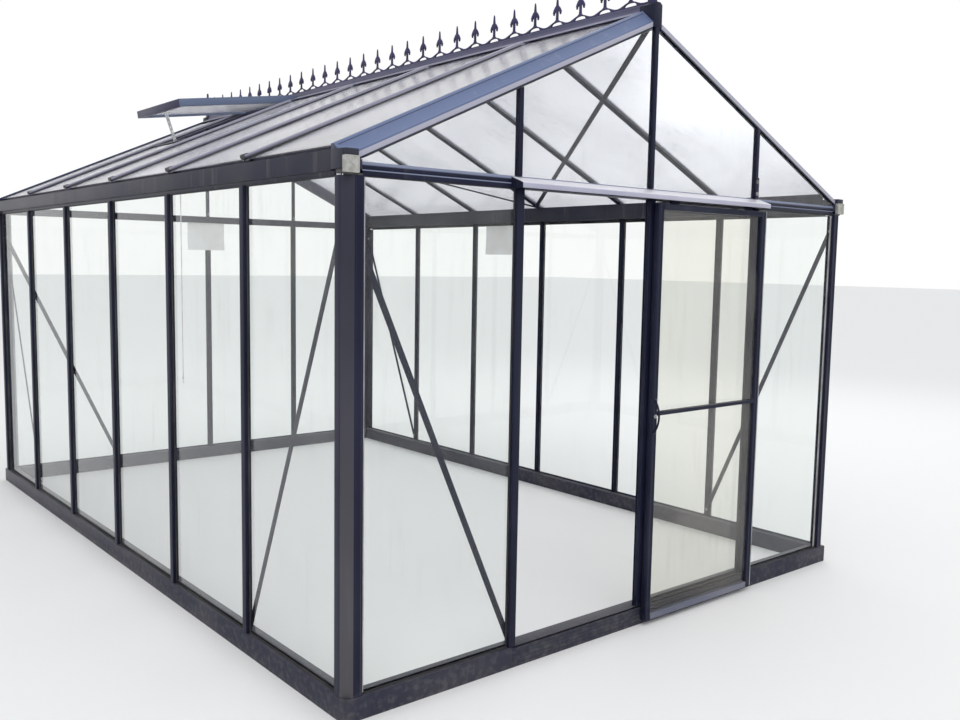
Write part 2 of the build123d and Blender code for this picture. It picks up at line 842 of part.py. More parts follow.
stay = along_y([stay_point(-stay_overrun, -1), stay_point(-stay_overrun, 1),
                stay_point(1 + stay_overrun, 1), stay_point(1 + stay_overrun, -1)],
               vent_middle - stay_thickness / 2, vent_middle + stay_thickness / 2)
above_sill = along_y(
    [(-half_w, roof_z(0)), (0, roof_z(half_w)), (0, ridge_top + 200), (-half_w, ridge_top + 200)],
    vent_low, vent_high)
stay = (stay & above_sill) - vent_box(vent_half, 0, vent_length + 10, 0, 200)
for i in range(stay_holes):
    hole_x, hole_z = stay_point((i + 1) / (stay_holes + 1), 0)
    stay = stay - Pos(hole_x, vent_middle, hole_z) * Rot(90, 0, 0) * Cylinder(
        stay_hole_radius, stay_thickness * 3)
save("vent_stay", stay)

# Clip on the sill bar and the cord that hangs from it
cord_line = cord_x - half_w
cord_top_z = roof_z(cord_x) - cord_drop
clip_body = block(cord_line - clip_reach, cord_line + clip_half, vent_middle - clip_half,
                  vent_middle + clip_half, cord_top_z, cord_top_z + clip_height)
clip_limit = slope_prism(
    [(-sill_half, 0), (sill_half, 0), (sill_half, vent_sill_depth + 60),
     (-sill_half, vent_sill_depth + 60)],
    sill_s1, sill_s1 + 80, vent_middle)
save("vent_cord_clip", clip_body & clip_limit)
cord_bottom_z = cord_top_z - cord_length
cord = Pos(cord_line, vent_middle, (cord_top_z + cord_bottom_z) / 2) * Cylinder(
    cord_radius, cord_length)
save("vent_cord", cord)
knot_z = cord_bottom_z - knot_height / 2
knot = Box(2 * knot_half, 2 * knot_half, knot_height)
knot = Pos(cord_line, vent_middle, knot_z) * chamfer(knot.edges(), knot_edge)
for side in (-1, 1):
    tail = block(-tail_half, tail_half, -tail_half, tail_half, -tail_length, 0)
    tail = Pos(cord_line, vent_middle, knot_z) * Rot(side * tail_lean, 0, 0) * tail
    knot = knot + tail
save("vent_cord_knot", knot)


# Wall braces, flat bars behind the posts
def wall_brace(length, top_z, wall):
    """Flat bar from the corner post down to the foot of the first post."""
    start = -length / 2 + brace_start
    end = -length / 2 + bay
    slope = (top_z - brace_foot_z) / (end - start)
    half = brace_width / 2 * math.hypot(1, slope)
    outline = [(start, top_z - half), (start, top_z + half),
               (end, brace_foot_z + half), (end, brace_foot_z - half)]
    plate = prism(Plane.XZ.offset(-bar_depth - brace_thickness), outline, brace_thickness)
    return wall * plate


front_brace = wall_brace(2 * half_w, end_brace_top, front_wall)
left_rear_brace = wall_brace(2 * half_l, side_brace_top, left_wall)
left_front_brace = to_rear(left_rear_brace)
save("wall_braces", front_brace, to_rear(front_brace), left_front_brace, left_rear_brace,
     to_right(left_front_brace), to_right(left_rear_brace))

# Roof braces, flat bars under the roof bars from the eave to both ridge ends
brace_low_s = body_start + brace_width
brace_high_s = slope_at(half_w - ridge_half, bar_depth) - brace_width
verge_side = half_l - verge_inner + brace_verge_gap
brace_rise = (brace_high_s - brace_low_s) / verge_side
brace_half = brace_width / 2 * math.hypot(1, brace_rise)
brace_outline = [
    (brace_meeting / 2, brace_low_s - brace_half),
    (brace_meeting / 2, brace_low_s + brace_half),
    (verge_side, brace_high_s + brace_half),
    (verge_side, brace_high_s - brace_half),
]
under_bars = Plane(
    origin=(bar_depth * math.sin(pitch) - half_w, 0, roof_z(0) - bar_depth * math.cos(pitch)),
    x_dir=(0, 1, 0),
    z_dir=(math.sin(pitch), 0, -math.cos(pitch)),
)
rear_roof_brace = prism(under_bars, brace_outline, brace_thickness)
front_roof_brace = to_rear(rear_roof_brace)
save("roof_braces", front_roof_brace, rear_roof_brace,
     to_right(front_roof_brace), to_right(rear_roof_brace))


# Sliding door, drawn standing open to the right of the doorway
def front_block(x0, x1, out0, out1, z0, z1):
    """Box placed by its distances out of the front wall face."""
    return block(x0, x1, front_line(out1), front_line(out0), z0, z1)


door_front = door_back + door_depth
open_x = front_stations[2]
rail_low = door_bottom + bottom_rail_height
rail_high = door_top - top_rail_height
inner_left = open_x + stile_width
inner_right = open_x + door_width - stile_width
mid_low = mid_rail_z - mid_rail_height / 2
mid_high = mid_rail_z + mid_rail_height / 2
slot_out = door_back + door_pane_in
slot_end = slot_out + glass_thickness
stile_slot_low = rail_low - door_rebate
stile_slot_high = rail_high + door_rebate
left_stile = front_block(open_x, inner_left, door_back, door_front, door_bottom, door_top)
left_stile = chamfer(left_stile.edges().filter_by(Axis.Z).sort_by(Axis.Y)[:2], door_edge)
left_stile = left_stile - front_block(inner_left - door_rebate, inner_left + 1, slot_out,
                                      slot_end, stile_slot_low, stile_slot_high)
door_middle = open_x + door_width / 2
right_stile = Pos(door_middle, 0, 0) * to_right(Pos(-door_middle, 0, 0) * left_stile)
save("door_stiles", left_stile, right_stile)


def door_rail(z0, z1, groove_below, groove_above):
    rail = front_block(inner_left, inner_right, door_back, door_front, z0, z1)
    if groove_below:
        rail = rail - front_block(inner_left - 1, inner_right + 1, slot_out, slot_end,
                                  z0 - 1, z0 + groove_below)
    if groove_above:
        rail = rail - front_block(inner_left - 1, inner_right + 1, slot_out, slot_end,
                                  z1 - groove_above, z1 + 1)
    return rail


mid_groove = mid_rail_height / 2 - mid_web
save("door_rails", door_rail(rail_high, door_top, door_rebate, 0),
     door_rail(mid_low, mid_high, mid_groove, mid_groove))
save("door_bottom_rail", door_rail(door_bottom, rail_low, 0, door_rebate))
pane_left = inner_left - door_rebate + pane_play
pane_right = inner_right + door_rebate - pane_play
low_pane = front_block(pane_left, pane_right, slot_out, slot_end,
                       rail_low - door_rebate, mid_low + mid_groove)
high_pane = front_block(pane_left, pane_right, slot_out, slot_end,
                        mid_high - mid_groove, rail_high + door_rebate - pane_play)
save("door_glass", low_pane, high_pane)

# Bow handle and lock on the left stile
handle_x = open_x + stile_width / 2
bow_radius = ((handle_spacing / 2) ** 2 + handle_out ** 2) / (2 * handle_out)
bow_middle = door_front + handle_out - bow_radius
bow_turn = math.asin((handle_spacing / 2 + handle_radius) / bow_radius)


def bow_points(radius):
    """Points along one side of the bow."""
    points = []
    for i in range(-handle_steps, handle_steps + 1):
        turn = bow_turn * i / handle_steps
        points.append((front_line(bow_middle + radius * math.cos(turn)),
                       handle_z + radius * math.sin(turn)))
    return points


grip = along_x(
    bow_points(bow_radius + handle_radius) + bow_points(bow_radius - handle_radius)[::-1],
    handle_x - handle_radius, handle_x + handle_radius)
rose = Rot(90, 0, 0) * Cylinder(rose_radius, rose_thickness)
rose_y = front_line(door_front + rose_thickness / 2)
behind = front_block(handle_x - 40, handle_x + 40, door_back, door_front,
                     handle_z - handle_spacing, handle_z + handle_spacing)
handle = grip - behind
for side in (-1, 1):
    handle = handle + Pos(handle_x, rose_y, handle_z + side * handle_spacing / 2) * rose
save("door_handle", handle)
lock = Pos(handle_x, front_line(door_front + lock_out / 2), handle_z) * Rot(90, 0, 0)
save("door_lock", lock * Cylinder(lock_radius, lock_out))

# Door track: a hood with a back plate and a shelf for the rollers
track_x0 = front_stations[1] - track_left
track_x1 = open_x + door_width + track_right
nose_top = track_bottom + track_nose
hood_x0 = track_x0 + track_wall
hood_x1 = track_x1 - track_wall
nose_in = track_out - track_wall
top_fall = (track_top - nose_top) / nose_in
back_outline = [
    (0, track_bottom),
    (track_wall, track_bottom),
    (track_wall, track_top - track_wall - track_wall * top_fall),
    (0, track_top - track_wall),
]
shelf_outline = [
    (track_wall, shelf_z),
    (shelf_out, shelf_z),
    (shelf_out, shelf_z + track_wall),
    (track_wall, shelf_z + track_wall),
]
top_outline = [
    (0, track_top - track_wall),
    (nose_in, nose_top - track_wall),
    (track_out, nose_top - track_wall),
    (track_out - track_lip, nose_top),
    (0, track_top),
]
nose_outline = [
    (nose_in, track_bottom),
    (track_out - track_foot / 2, track_bottom),
    (track_out, track_bottom + track_foot),
    (track_out, nose_top - track_wall),
    (nose_in, nose_top - track_wall),
]
cap_outline = [
    (0, track_bottom - shelf_rise),
    (track_out, track_bottom - shelf_rise),
    (track_out, nose_top - track_wall),
    (track_out - track_lip, nose_top),
    (0, track_top),
]


def track_run(outline, x0, x1):
    return along_x([(front_line(out), z) for out, z in outline], x0, x1)


save("door_track_back", track_run(back_outline, hood_x0, hood_x1))
save("door_track_shelf", track_run(shelf_outline, hood_x0, hood_x1))
save("door_track_top", track_run(top_outline, hood_x0, hood_x1))
save("door_track_nose", track_run(nose_outline, hood_x0, hood_x1))
save("door_track_end_caps", track_run(cap_outline, track_x0, hood_x0),
     track_run(cap_outline, hood_x1, track_x1))

# Hangers on the door with a roller on each
wheel_z = shelf_z + track_wall + wheel_gap + wheel_radius
wheels = []
axles = []
hangers = []
for x in (open_x + hanger_inset, open_x + door_width - hanger_inset):
    half = hanger_width / 2
    plate = front_block(x - half, x + half, hanger_out, hanger_out + hanger_thickness,
                        door_top, door_top + hanger_height)
    foot = front_block(x - half, x + half, foot_out, foot_out + foot_depth,
                       door_top, door_top + hanger_thickness)
    axle_middle = front_line((wheel_out + hanger_out) / 2)
    axle = Pos(x, axle_middle, wheel_z) * Rot(90, 0, 0) * Cylinder(
        axle_radius, hanger_out - wheel_out)
    hangers.append(plate + foot)
    axles.append(axle)
    wheel_middle = front_line(wheel_out + wheel_thickness / 2)
    wheel = Pos(x, wheel_middle, wheel_z) * Rot(90, 0, 0) * Cylinder(
        wheel_radius, wheel_thickness)
    wheels.append(wheel - axle)
save("door_hangers", *hangers)
save("door_axles", *axles)
save("door_rollers", *wheels)
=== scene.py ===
import math
import bpy
from mathutils import Matrix, Vector


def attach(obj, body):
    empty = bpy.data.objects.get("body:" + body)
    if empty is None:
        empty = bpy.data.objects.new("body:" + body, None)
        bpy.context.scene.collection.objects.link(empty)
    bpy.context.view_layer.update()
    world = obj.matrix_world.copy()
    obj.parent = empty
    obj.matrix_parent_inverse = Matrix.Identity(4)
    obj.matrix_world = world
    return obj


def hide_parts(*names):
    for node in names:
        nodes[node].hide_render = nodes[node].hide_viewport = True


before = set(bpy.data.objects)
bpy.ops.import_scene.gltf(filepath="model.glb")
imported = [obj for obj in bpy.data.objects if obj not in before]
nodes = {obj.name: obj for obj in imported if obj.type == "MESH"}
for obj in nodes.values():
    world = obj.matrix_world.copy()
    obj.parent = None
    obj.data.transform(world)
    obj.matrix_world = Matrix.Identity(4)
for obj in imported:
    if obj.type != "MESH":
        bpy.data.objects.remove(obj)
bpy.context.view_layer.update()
print("frame loaded:", len(nodes), "nodes")

# sizes that the pieces share, in metres
house = {
    "halfWidth": 1.488, "halfLength": 2.232, "bay": 0.744, "pitch": math.radians(24.5),
    "eaveZ": 1.948, "baseTop": 0.084, "beamZ": 1.842, "tieTop": 1.888, "barHalf": 0.018,
    "noseOut": 0.012, "glassOut": 0.007, "glassIn": 0.011, "barDepth": 0.020,
    "cornerWidth": 0.058,
}
halfWidth, halfLength, bay = house["halfWidth"], house["halfLength"], house["bay"]
endStations = [(k - 2) * bay for k in range(5)]
sideStations = [(k - 3) * bay for k in range(7)]


# camera
view = {"place": (-3.1251, -4.8861, 1.5655), "yaw": 39.71, "dip": 5.83, "roll": 0.97,
        "lens": 35.58, "sensor": 36}
yaw, dip, roll = (math.radians(view[k]) for k in ("yaw", "dip", "roll"))
ahead = Vector((math.sin(yaw) * math.cos(dip), math.cos(yaw) * math.cos(dip), -math.sin(dip)))
flat = Vector((math.cos(yaw), -math.sin(yaw), 0))
above = flat.cross(ahead)
rightAxis = math.cos(roll) * flat + math.sin(roll) * above
upAxis = math.cos(roll) * above - math.sin(roll) * flat
turn = Matrix((rightAxis, upAxis, -ahead)).transposed().to_4x4()
bpy.ops.object.camera_add()
camera = bpy.context.object
camera.matrix_world = Matrix.Translation(view["place"]) @ turn
camera.data.lens = view["lens"]
camera.data.sensor_width = view["sensor"]
bpy.context.scene.camera = camera
print("camera set")


# making pieces by hand
def pickNone():
    if bpy.context.object and bpy.context.object.mode != "OBJECT":
        bpy.ops.object.mode_set(mode="OBJECT")
    bpy.ops.object.select_all(action="DESELECT")


def pick(*pieces):
    pickNone()
    for piece in pieces:
        piece.select_set(True)
    bpy.context.view_layer.objects.active = pieces[-1]


def named(name):
    # names the object just made and puts its place into its mesh
    piece = bpy.context.object
    piece.name = piece.data.name = name
    bpy.ops.object.transform_apply(location=True, rotation=True, scale=True)
    return piece


def newBar(name, low, high):
    # a cube set between two corners, the start of most pieces
    pickNone()
    middle = [(a + b) / 2 for a, b in zip(low, high)]
    size = [b - a for a, b in zip(low, high)]
    bpy.ops.mesh.primitive_cube_add(size=1, location=middle, scale=size)
    return named(name)


def newRound(name, middle, radius, depth, sides=24, rotation=(0, 0, 0)):
    pickNone()
    bpy.ops.mesh.primitive_cylinder_add(
        vertices=sides, radius=radius, depth=depth, location=middle, rotation=rotation)
    return named(name)


def pickFaces(piece, test):
    # goes into edit mode with the faces that pass the test selected
    pick(piece)
    bpy.ops.object.mode_set(mode="EDIT")
    bpy.ops.mesh.select_mode(type="FACE")
    bpy.ops.mesh.select_all(action="DESELECT")
    bpy.ops.object.mode_set(mode="OBJECT")
    for face in piece.data.polygons:
        face.select = bool(test(face.center, face.normal))
    bpy.ops.object.mode_set(mode="EDIT")


def pickEdges(piece, test):
    # the same with edges, by their two ends
    pick(piece)
    bpy.ops.object.mode_set(mode="EDIT")
    bpy.ops.mesh.select_mode(type="EDGE")
    bpy.ops.mesh.select_all(action="DESELECT")
    bpy.ops.object.mode_set(mode="OBJECT")
    points = piece.data.vertices
    for edge in piece.data.edges:
        edge.select = bool(test(points[edge.vertices[0]].co, points[edge.vertices[1]].co))
    bpy.ops.object.mode_set(mode="EDIT")


def objectMode():
    bpy.ops.object.mode_set(mode="OBJECT")


def softEdges(piece, width, segments=2, angle=32):
    pick(piece)
    bpy.ops.object.modifier_add(type="BEVEL")
    bevel = piece.modifiers[-1]
    bevel.width = width
    bevel.segments = segments
    bevel.limit_method = "ANGLE"
    bevel.angle_limit = math.radians(angle)
    bpy.ops.object.modifier_apply(modifier=bevel.name)
    bpy.ops.object.shade_smooth_by_angle(angle=math.radians(angle))
    return piece


def copied(piece, matrix):
    # a copy with its own mesh, its place in that mesh
    twin = piece.copy()
    twin.data = piece.data.copy()
    bpy.context.scene.collection.objects.link(twin)
    twin.data.transform(matrix)
    if matrix.determinant() < 0:
        twin.data.flip_normals()
    return twin


def moved(x=0.0, y=0.0, z=0.0):
    return Matrix.Translation((x, y, z))


def turned(degrees, axis):
    return Matrix.Rotation(math.radians(degrees), 4, axis)


def longer(length):
    # for strips that are made one metre long
    return Matrix.Diagonal((1, 1, length, 1))


def joined(name, pieces):
    pick(*pieces)
    if len(pieces) > 1:
        bpy.ops.object.join()
    piece = bpy.context.object
    piece.name = piece.data.name = name
    return piece


def spread(name, piece, matrices):
    # one joined piece from copies of a first one, which is then removed
    twins = [copied(piece, matrix) for matrix in matrices]
    bpy.data.objects.remove(piece)
    return joined(name, twins)


def finished(piece, look, body="frame", replaced=()):
    # dresses a piece, rides it on its body and hides the nodes it stands for
    piece.data.materials.clear()
    piece.data.materials.append(look)
    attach(piece, body)
    if replaced:
        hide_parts(*replaced)
    return piece


def mirrorX():
    return Matrix.Scale(-1, 4, (1, 0, 0))


def mirrorY():
    return Matrix.Scale(-1, 4, (0, 1, 0))


def fourCorners(place):
    # the same place at all four corners of the house
    return [place, mirrorX() @ place, mirrorY() @ place, mirrorX() @ mirrorY() @ place]


def frameOf(origin, along, inward, up):
    turnTo = Matrix((along, inward, up)).transposed().to_4x4()
    return Matrix.Translation(origin) @ turnTo


slopeSin, slopeCos = math.sin(house["pitch"]), math.cos(house["pitch"])
# local x runs along the wall or roof, y goes inwards from its outer face, z goes up it
walls = {
    "front": frameOf((0, -halfLength, 0), (1, 0, 0), (0, 1, 0), (0, 0, 1)),
    "rear": frameOf((0, halfLength, 0), (-1, 0, 0), (0, -1, 0), (0, 0, 1)),
    "left": frameOf((-halfWidth, 0, 0), (0, -1, 0), (1, 0, 0), (0, 0, 1)),
    "right": frameOf((halfWidth, 0, 0), (0, 1, 0), (-1, 0, 0), (0, 0, 1)),
    "leftSlope": frameOf((-halfWidth, 0, house["eaveZ"]), (0, -1, 0),
                         (slopeSin, 0, -slopeCos), (slopeCos, 0, slopeSin)),
    "rightSlope": frameOf((halfWidth, 0, house["eaveZ"]), (0, 1, 0),
                          (-slopeSin, 0, -slopeCos), (-slopeCos, 0, slopeSin)),
}


# materials
def newLook(name):
    look = bpy.data.materials.new(name)
    look.use_nodes = True
    tree = look.node_tree
    coords = tree.nodes.new("ShaderNodeTexCoord").outputs["Object"]
    return look, tree, tree.nodes["Principled BSDF"], coords


def noiseOf(tree, coords, scale, detail=3.0, stretch=(1, 1, 1)):
    mapping = tree.nodes.new("ShaderNodeMapping")
    mapping.inputs["Scale"].default_value = stretch
    noise = tree.nodes.new("ShaderNodeTexNoise")
    noise.inputs["Scale"].default_value = scale
    noise.inputs["Detail"].default_value = detail
    tree.links.new(coords, mapping.inputs["Vector"])
    tree.links.new(mapping.outputs["Vector"], noise.inputs["Vector"])
    return noise.outputs["Fac"]


def rampOf(tree, value, low, high, lowOut=0.0, highOut=1.0):
    ramp = tree.nodes.new("ShaderNodeMapRange")
    ramp.interpolation_type = "SMOOTHSTEP"
    ramp.inputs["From Min"].default_value = low
    ramp.inputs["From Max"].default_value = high
    ramp.inputs["To Min"].default_value = lowOut
    ramp.inputs["To Max"].default_value = highOut
    tree.links.new(value, ramp.inputs["Value"])
    return ramp.outputs["Result"]


def mathOf(tree, kind, first, second):
    node = tree.nodes.new("ShaderNodeMath")
    node.operation = kind
    for place, value in enumerate((first, second)):
        if isinstance(value, (int, float)):
            node.inputs[place].default_value = value
        else:
            tree.links.new(value, node.inputs[place])
    return node.outputs["Value"]


def mixOf(tree, share, first, second):
    node = tree.nodes.new("ShaderNodeMix")
    node.data_type = "RGBA"
    tree.links.new(share, node.inputs[0])
    for place, colour in ((6, first), (7, second)):
        if isinstance(colour, (tuple, list)):
            node.inputs[place].default_value = (*colour[:3], 1)
        else:
            tree.links.new(colour, node.inputs[place])
    return node.outputs[2]


def bumpOf(tree, shader, height, strength, distance):
    bump = tree.nodes.new("ShaderNodeBump")
    bump.inputs["Strength"].default_value = strength
    bump.inputs["Distance"].default_value = distance
    tree.links.new(height, bump.inputs["Height"])
    tree.links.new(bump.outputs["Normal"], shader.inputs["Normal"])


def facing(tree):
    # the three parts of the direction in which a face looks
    normal = tree.nodes.new("ShaderNodeNewGeometry").outputs["Normal"]
    split = tree.nodes.new("ShaderNodeSeparateXYZ")
    tree.links.new(normal, split.inputs[0])
    return split.outputs


def upwards(tree):
    # 1 where a face looks up, where dust settles and where the painted sky sheen goes
    return facing(tree)["Z"]


def endwards(tree):
    # 1 where a face looks to the front or rear, where the vent's painted sheen also goes
    return mathOf(tree, "ABSOLUTE", facing(tree)["Y"], 0.0)


def cornerwards(tree):
    # 1 on a face turned halfway between two walls, where the painted chamfer sheen goes
    parts = facing(tree)
    both = mathOf(tree, "ABSOLUTE", mathOf(tree, "MULTIPLY", parts["X"], parts["Y"]), 0.0)
    return rampOf(tree, both, 0.3, 0.48)


def heightOf(tree, coords):
    split = tree.nodes.new("ShaderNodeSeparateXYZ")
    tree.links.new(coords, split.inputs[0])
    return split.outputs["Z"]


def rakeHighlightBand(tree, coords, top, low, faceDepth):
    # 1 on the outer face of the verges between two depths under the roof plane, the mask of a pale
    # painted highlight band
    split = tree.nodes.new("ShaderNodeSeparateXYZ")
    tree.links.new(coords, split.inputs[0])
    inset = mathOf(tree, "SUBTRACT", halfWidth, mathOf(tree, "ABSOLUTE", split.outputs["X"], 0.0))
    plane = mathOf(tree, "MULTIPLY", inset, math.tan(house["pitch"]))
    plane = mathOf(tree, "ADD", plane, house["eaveZ"])
    depth = mathOf(tree, "MULTIPLY", mathOf(tree, "SUBTRACT", plane, split.outputs["Z"]), slopeCos)
    inside = mathOf(tree, "MULTIPLY", mathOf(tree, "GREATER_THAN", depth, top),
                   mathOf(tree, "LESS_THAN", depth, low))
    out = mathOf(tree, "ABSOLUTE", split.outputs["Y"], 0.0)
    return mathOf(tree, "MULTIPLY", inside,
                  mathOf(tree, "GREATER_THAN", out, halfLength - faceDepth))


# greyHigh, greyLow and greyTop shape the grey painted sheen on the corner chamfers, stronger
# towards the ground
coatFacts = {"spots": 38.0, "splashHigh": 0.16, "greyHigh": 1.7, "greyLow": 0.2, "greyTop": 0.3,
             "bump": 0.25, "deep": 0.0003}


def paintLook(name, paint):
    # powder coat with dust on top faces, rain streaks, splash near the ground and worn tone, plus
    # a painted sky sheen on upward faces, a grey painted sheen on the corner chamfers and a pale
    # painted highlight band on the verges
    look, tree, shader, coords = newLook(name)
    cloud = noiseOf(tree, coords, paint["cloud"], 4)
    streak = noiseOf(tree, coords, paint["streak"], 4, (1, 1, 0.06))
    grain = noiseOf(tree, coords, paint["grain"], 2)
    tone = mixOf(tree, rampOf(tree, cloud, 0.35, 0.68), paint["colour"], paint["faded"])
    # painted sky sheen: faces turned up, and on the vent also those turned to the ends, get a
    # lighter colour that stands in for sky light and its reflection
    sheenFaces = upwards(tree)
    if "ends" in paint:
        sheenFaces = mathOf(tree, "MAXIMUM", sheenFaces,
                        mathOf(tree, "MULTIPLY", endwards(tree), paint["ends"]))
    sheenShare = rampOf(tree, sheenFaces, *paint["paintedSheenRange"], 0.0, paint["paintedSheen"])
    tone = mixOf(tree, sheenShare, tone, paint["paintedSheenColour"])
    # grey painted sheen on the diagonal chamfer faces, in the dust colour, stronger towards the
    # ground
    if "chamfer" in paint:
        grey = rampOf(tree, heightOf(tree, coords), coatFacts["greyHigh"], coatFacts["greyLow"],
                      coatFacts["greyTop"] * paint["chamfer"], paint["chamfer"])
        tone = mixOf(tree, mathOf(tree, "MULTIPLY", grey, cornerwards(tree)), tone,
                     paint["dustAndSheenColour"])
    # pale painted highlight band along the arris and outer face of the verges
    if "band" in paint:
        tone = mixOf(tree, rakeHighlightBand(tree, coords, *paint["band"]), tone, paint["bandColour"])
    runs = mathOf(tree, "MULTIPLY", rampOf(tree, streak, 0.56, 0.74), paint["runs"])
    tone = mixOf(tree, runs, tone, paint["dustAndSheenColour"])
    settled = mathOf(tree, "MULTIPLY", rampOf(tree, upwards(tree), 0.55, 1.0),
                    rampOf(tree, cloud, 0.3, 0.7, paint["dust"] * 0.5, paint["dust"]))
    tone = mixOf(tree, settled, tone, paint["dustAndSheenColour"])
    spots = rampOf(tree, noiseOf(tree, coords, coatFacts["spots"], 5), 0.45, 0.66, 0.0,
                   paint["splash"])
    low = rampOf(tree, heightOf(tree, coords), coatFacts["splashHigh"], 0.0)
    splash = mathOf(tree, "MULTIPLY", low, spots)
    tone = mixOf(tree, splash, tone, paint["dustAndSheenColour"])
    tree.links.new(tone, shader.inputs["Base Color"])
    rough = mathOf(tree, "ADD", rampOf(tree, grain, 0.3, 0.7, paint["rough"] - 0.06,
                                      paint["rough"] + 0.07), runs)
    tree.links.new(rough, shader.inputs["Roughness"])
    shader.inputs["Specular IOR Level"].default_value = paint["shine"]
    bumpOf(tree, shader, grain, coatFacts["bump"], coatFacts["deep"])
    return look


paneFacts = {"drips": 26.0, "wave": 1.6, "bump": 0.12, "deep": 0.002, "ior": 1.28}


def glassLook(name, pane):
    # clear glass that lets lamps through, with a faint film, drips and a slight wave
    look, tree, shader, coords = newLook(name)
    film = noiseOf(tree, coords, pane["film"], 5)
    drips = noiseOf(tree, coords, paneFacts["drips"], 4, (1, 1, 0.08))
    marks = mathOf(tree, "MULTIPLY", rampOf(tree, drips, 0.5, 0.8), rampOf(tree, film, 0.4, 0.7))
    tint = mixOf(tree, marks, pane["tint"], pane["marked"])
    tree.links.new(tint, shader.inputs["Base Color"])
    tree.links.new(rampOf(tree, marks, 0.0, 1.0, pane["rough"], pane["rough"] + 0.06),
                   shader.inputs["Roughness"])
    tree.links.new(rampOf(tree, film, 0.35, 0.75, 1.0, pane["clear"]),
                   shader.inputs["Transmission Weight"])
    shader.inputs["IOR"].default_value = paneFacts["ior"]
    bumpOf(tree, shader, noiseOf(tree, coords, paneFacts["wave"], 1), paneFacts["bump"],
           paneFacts["deep"])
    clear = tree.nodes.new("ShaderNodeBsdfTransparent")
    clear.inputs["Color"].default_value = (*pane["shadow"], 1)
    rays = tree.nodes.new("ShaderNodeLightPath")
    mix = tree.nodes.new("ShaderNodeMixShader")
    tree.links.new(rays.outputs["Is Shadow Ray"], mix.inputs[0])
    tree.links.new(shader.outputs[0], mix.inputs[1])
    tree.links.new(clear.outputs[0], mix.inputs[2])
    tree.links.new(mix.outputs[0], tree.nodes["Material Output"].inputs["Surface"])
    return look


def plainLook(name, matter):
    # moulded, woven or drawn stuff: two tones, fine grain and soiling
    look, tree, shader, coords = newLook(name)
    cloud = noiseOf(tree, coords, matter["cloud"], 4)
    grain = noiseOf(tree, coords, matter["grain"], 3, matter.get("stretch", (1, 1, 1)))
    tone = mixOf(tree, rampOf(tree, cloud, 0.35, 0.7), matter["colour"], matter["soiled"])
    tone = mixOf(tree, rampOf(tree, grain, 0.55, 0.85, 0.0, 0.5), tone, matter["soiled"])
    tree.links.new(tone, shader.inputs["Base Color"])
    tree.links.new(rampOf(tree, grain, 0.3, 0.7, matter["rough"] - 0.08, matter["rough"] + 0.08),
                   shader.inputs["Roughness"])
    shader.inputs["Metallic"].default_value = matter.get("metal", 0.0)
    shader.inputs["Specular IOR Level"].default_value = matter.get("shine", 0.5)
    bumpOf(tree, shader, grain, matter.get("bump", 0.3), matter.get("deep", 0.0004))
    return look


# the sheen keys set a lighter colour painted on upward faces as a sky sheen; plain bars get none
barColours = {
    "colour": (0.0095, 0.011, 0.027), "faded": (0.015, 0.0175, 0.037), "cloud": 2.2,
    "streak": 22.0, "grain": 420.0, "runs": 0.05, "dust": 0.07, "splash": 0.08,
    "dustAndSheenColour": (0.30, 0.28, 0.26), "rough": 0.36, "shine": 0.12,
    "paintedSheen": 0.0, "paintedSheenColour": (0.2, 0.24, 0.36), "paintedSheenRange": (0.25, 0.8),
}
# corner posts: chamfer sets the grey painted sheen on their diagonal faces
cornerColours = dict(barColours, colour=(0.0105, 0.012, 0.030), faded=(0.017, 0.019, 0.041),
                     splash=0.12, chamfer=0.24)
# tie beams: painted sheen on their sloping upper faces, a painted lit top
tieColours = dict(barColours, paintedSheen=0.85, paintedSheenColour=(0.23, 0.26, 0.37),
                  paintedSheenRange=(0.12, 0.34))
baseColours = dict(barColours, colour=(0.033, 0.035, 0.054), faded=(0.056, 0.055, 0.070),
                   dust=0.08, shine=0.08, splash=0.14)
# verges: a blue painted sky sheen on top faces and a pale painted highlight band along the outer
# face
vergeColours = dict(barColours, colour=(0.028, 0.034, 0.075), faded=(0.045, 0.052, 0.1),
                    runs=0.12, dustAndSheenColour=(0.42, 0.44, 0.5), shine=0.3, paintedSheen=0.85,
                    paintedSheenColour=(0.125, 0.17, 0.31), band=(0.0455, 0.0625, 0.003),
                    bandColour=(0.36, 0.36, 0.44))
fasciaColours = dict(barColours, colour=(0.028, 0.030, 0.047), faded=(0.05, 0.05, 0.062),
                     dust=0.25, runs=0.18)
# roof bars: every face but the underside painted lighter, a painted lit top over a shaded
# underside
roofBarColours = dict(barColours, paintedSheen=0.92, paintedSheenColour=(0.34, 0.34, 0.43), dust=0.3,
                      paintedSheenRange=(-0.25, 0.05))
# vent: painted sky sheen on its top and end faces
ventColours = dict(barColours, colour=(0.032, 0.033, 0.078), faded=(0.05, 0.052, 0.10),
                   paintedSheen=0.85, paintedSheenColour=(0.15, 0.19, 0.29), shine=0.2, ends=0.9)
# ridge: painted sky sheen on its top faces
ridgeColours = dict(barColours, colour=(0.045, 0.045, 0.085), faded=(0.07, 0.07, 0.12),
                    dust=0.3, runs=0.1, paintedSheen=0.7, paintedSheenColour=(0.25, 0.25, 0.36))
crestColours = dict(barColours, colour=(0.035, 0.033, 0.085), faded=(0.06, 0.056, 0.13),
                    dust=0.1)
# door track top and nose: the navy coat painted pale lavender as if lit from above, a painted lit
# copy, with a painted sheen on top
trackLitColours = dict(barColours, colour=(0.36, 0.36, 0.46), faded=(0.46, 0.46, 0.55), dust=0.3,
                    paintedSheen=0.9, paintedSheenColour=(0.80, 0.79, 0.87), shine=0.4)
doorPaleColours = dict(barColours, colour=(0.13, 0.14, 0.19), faded=(0.19, 0.195, 0.24))
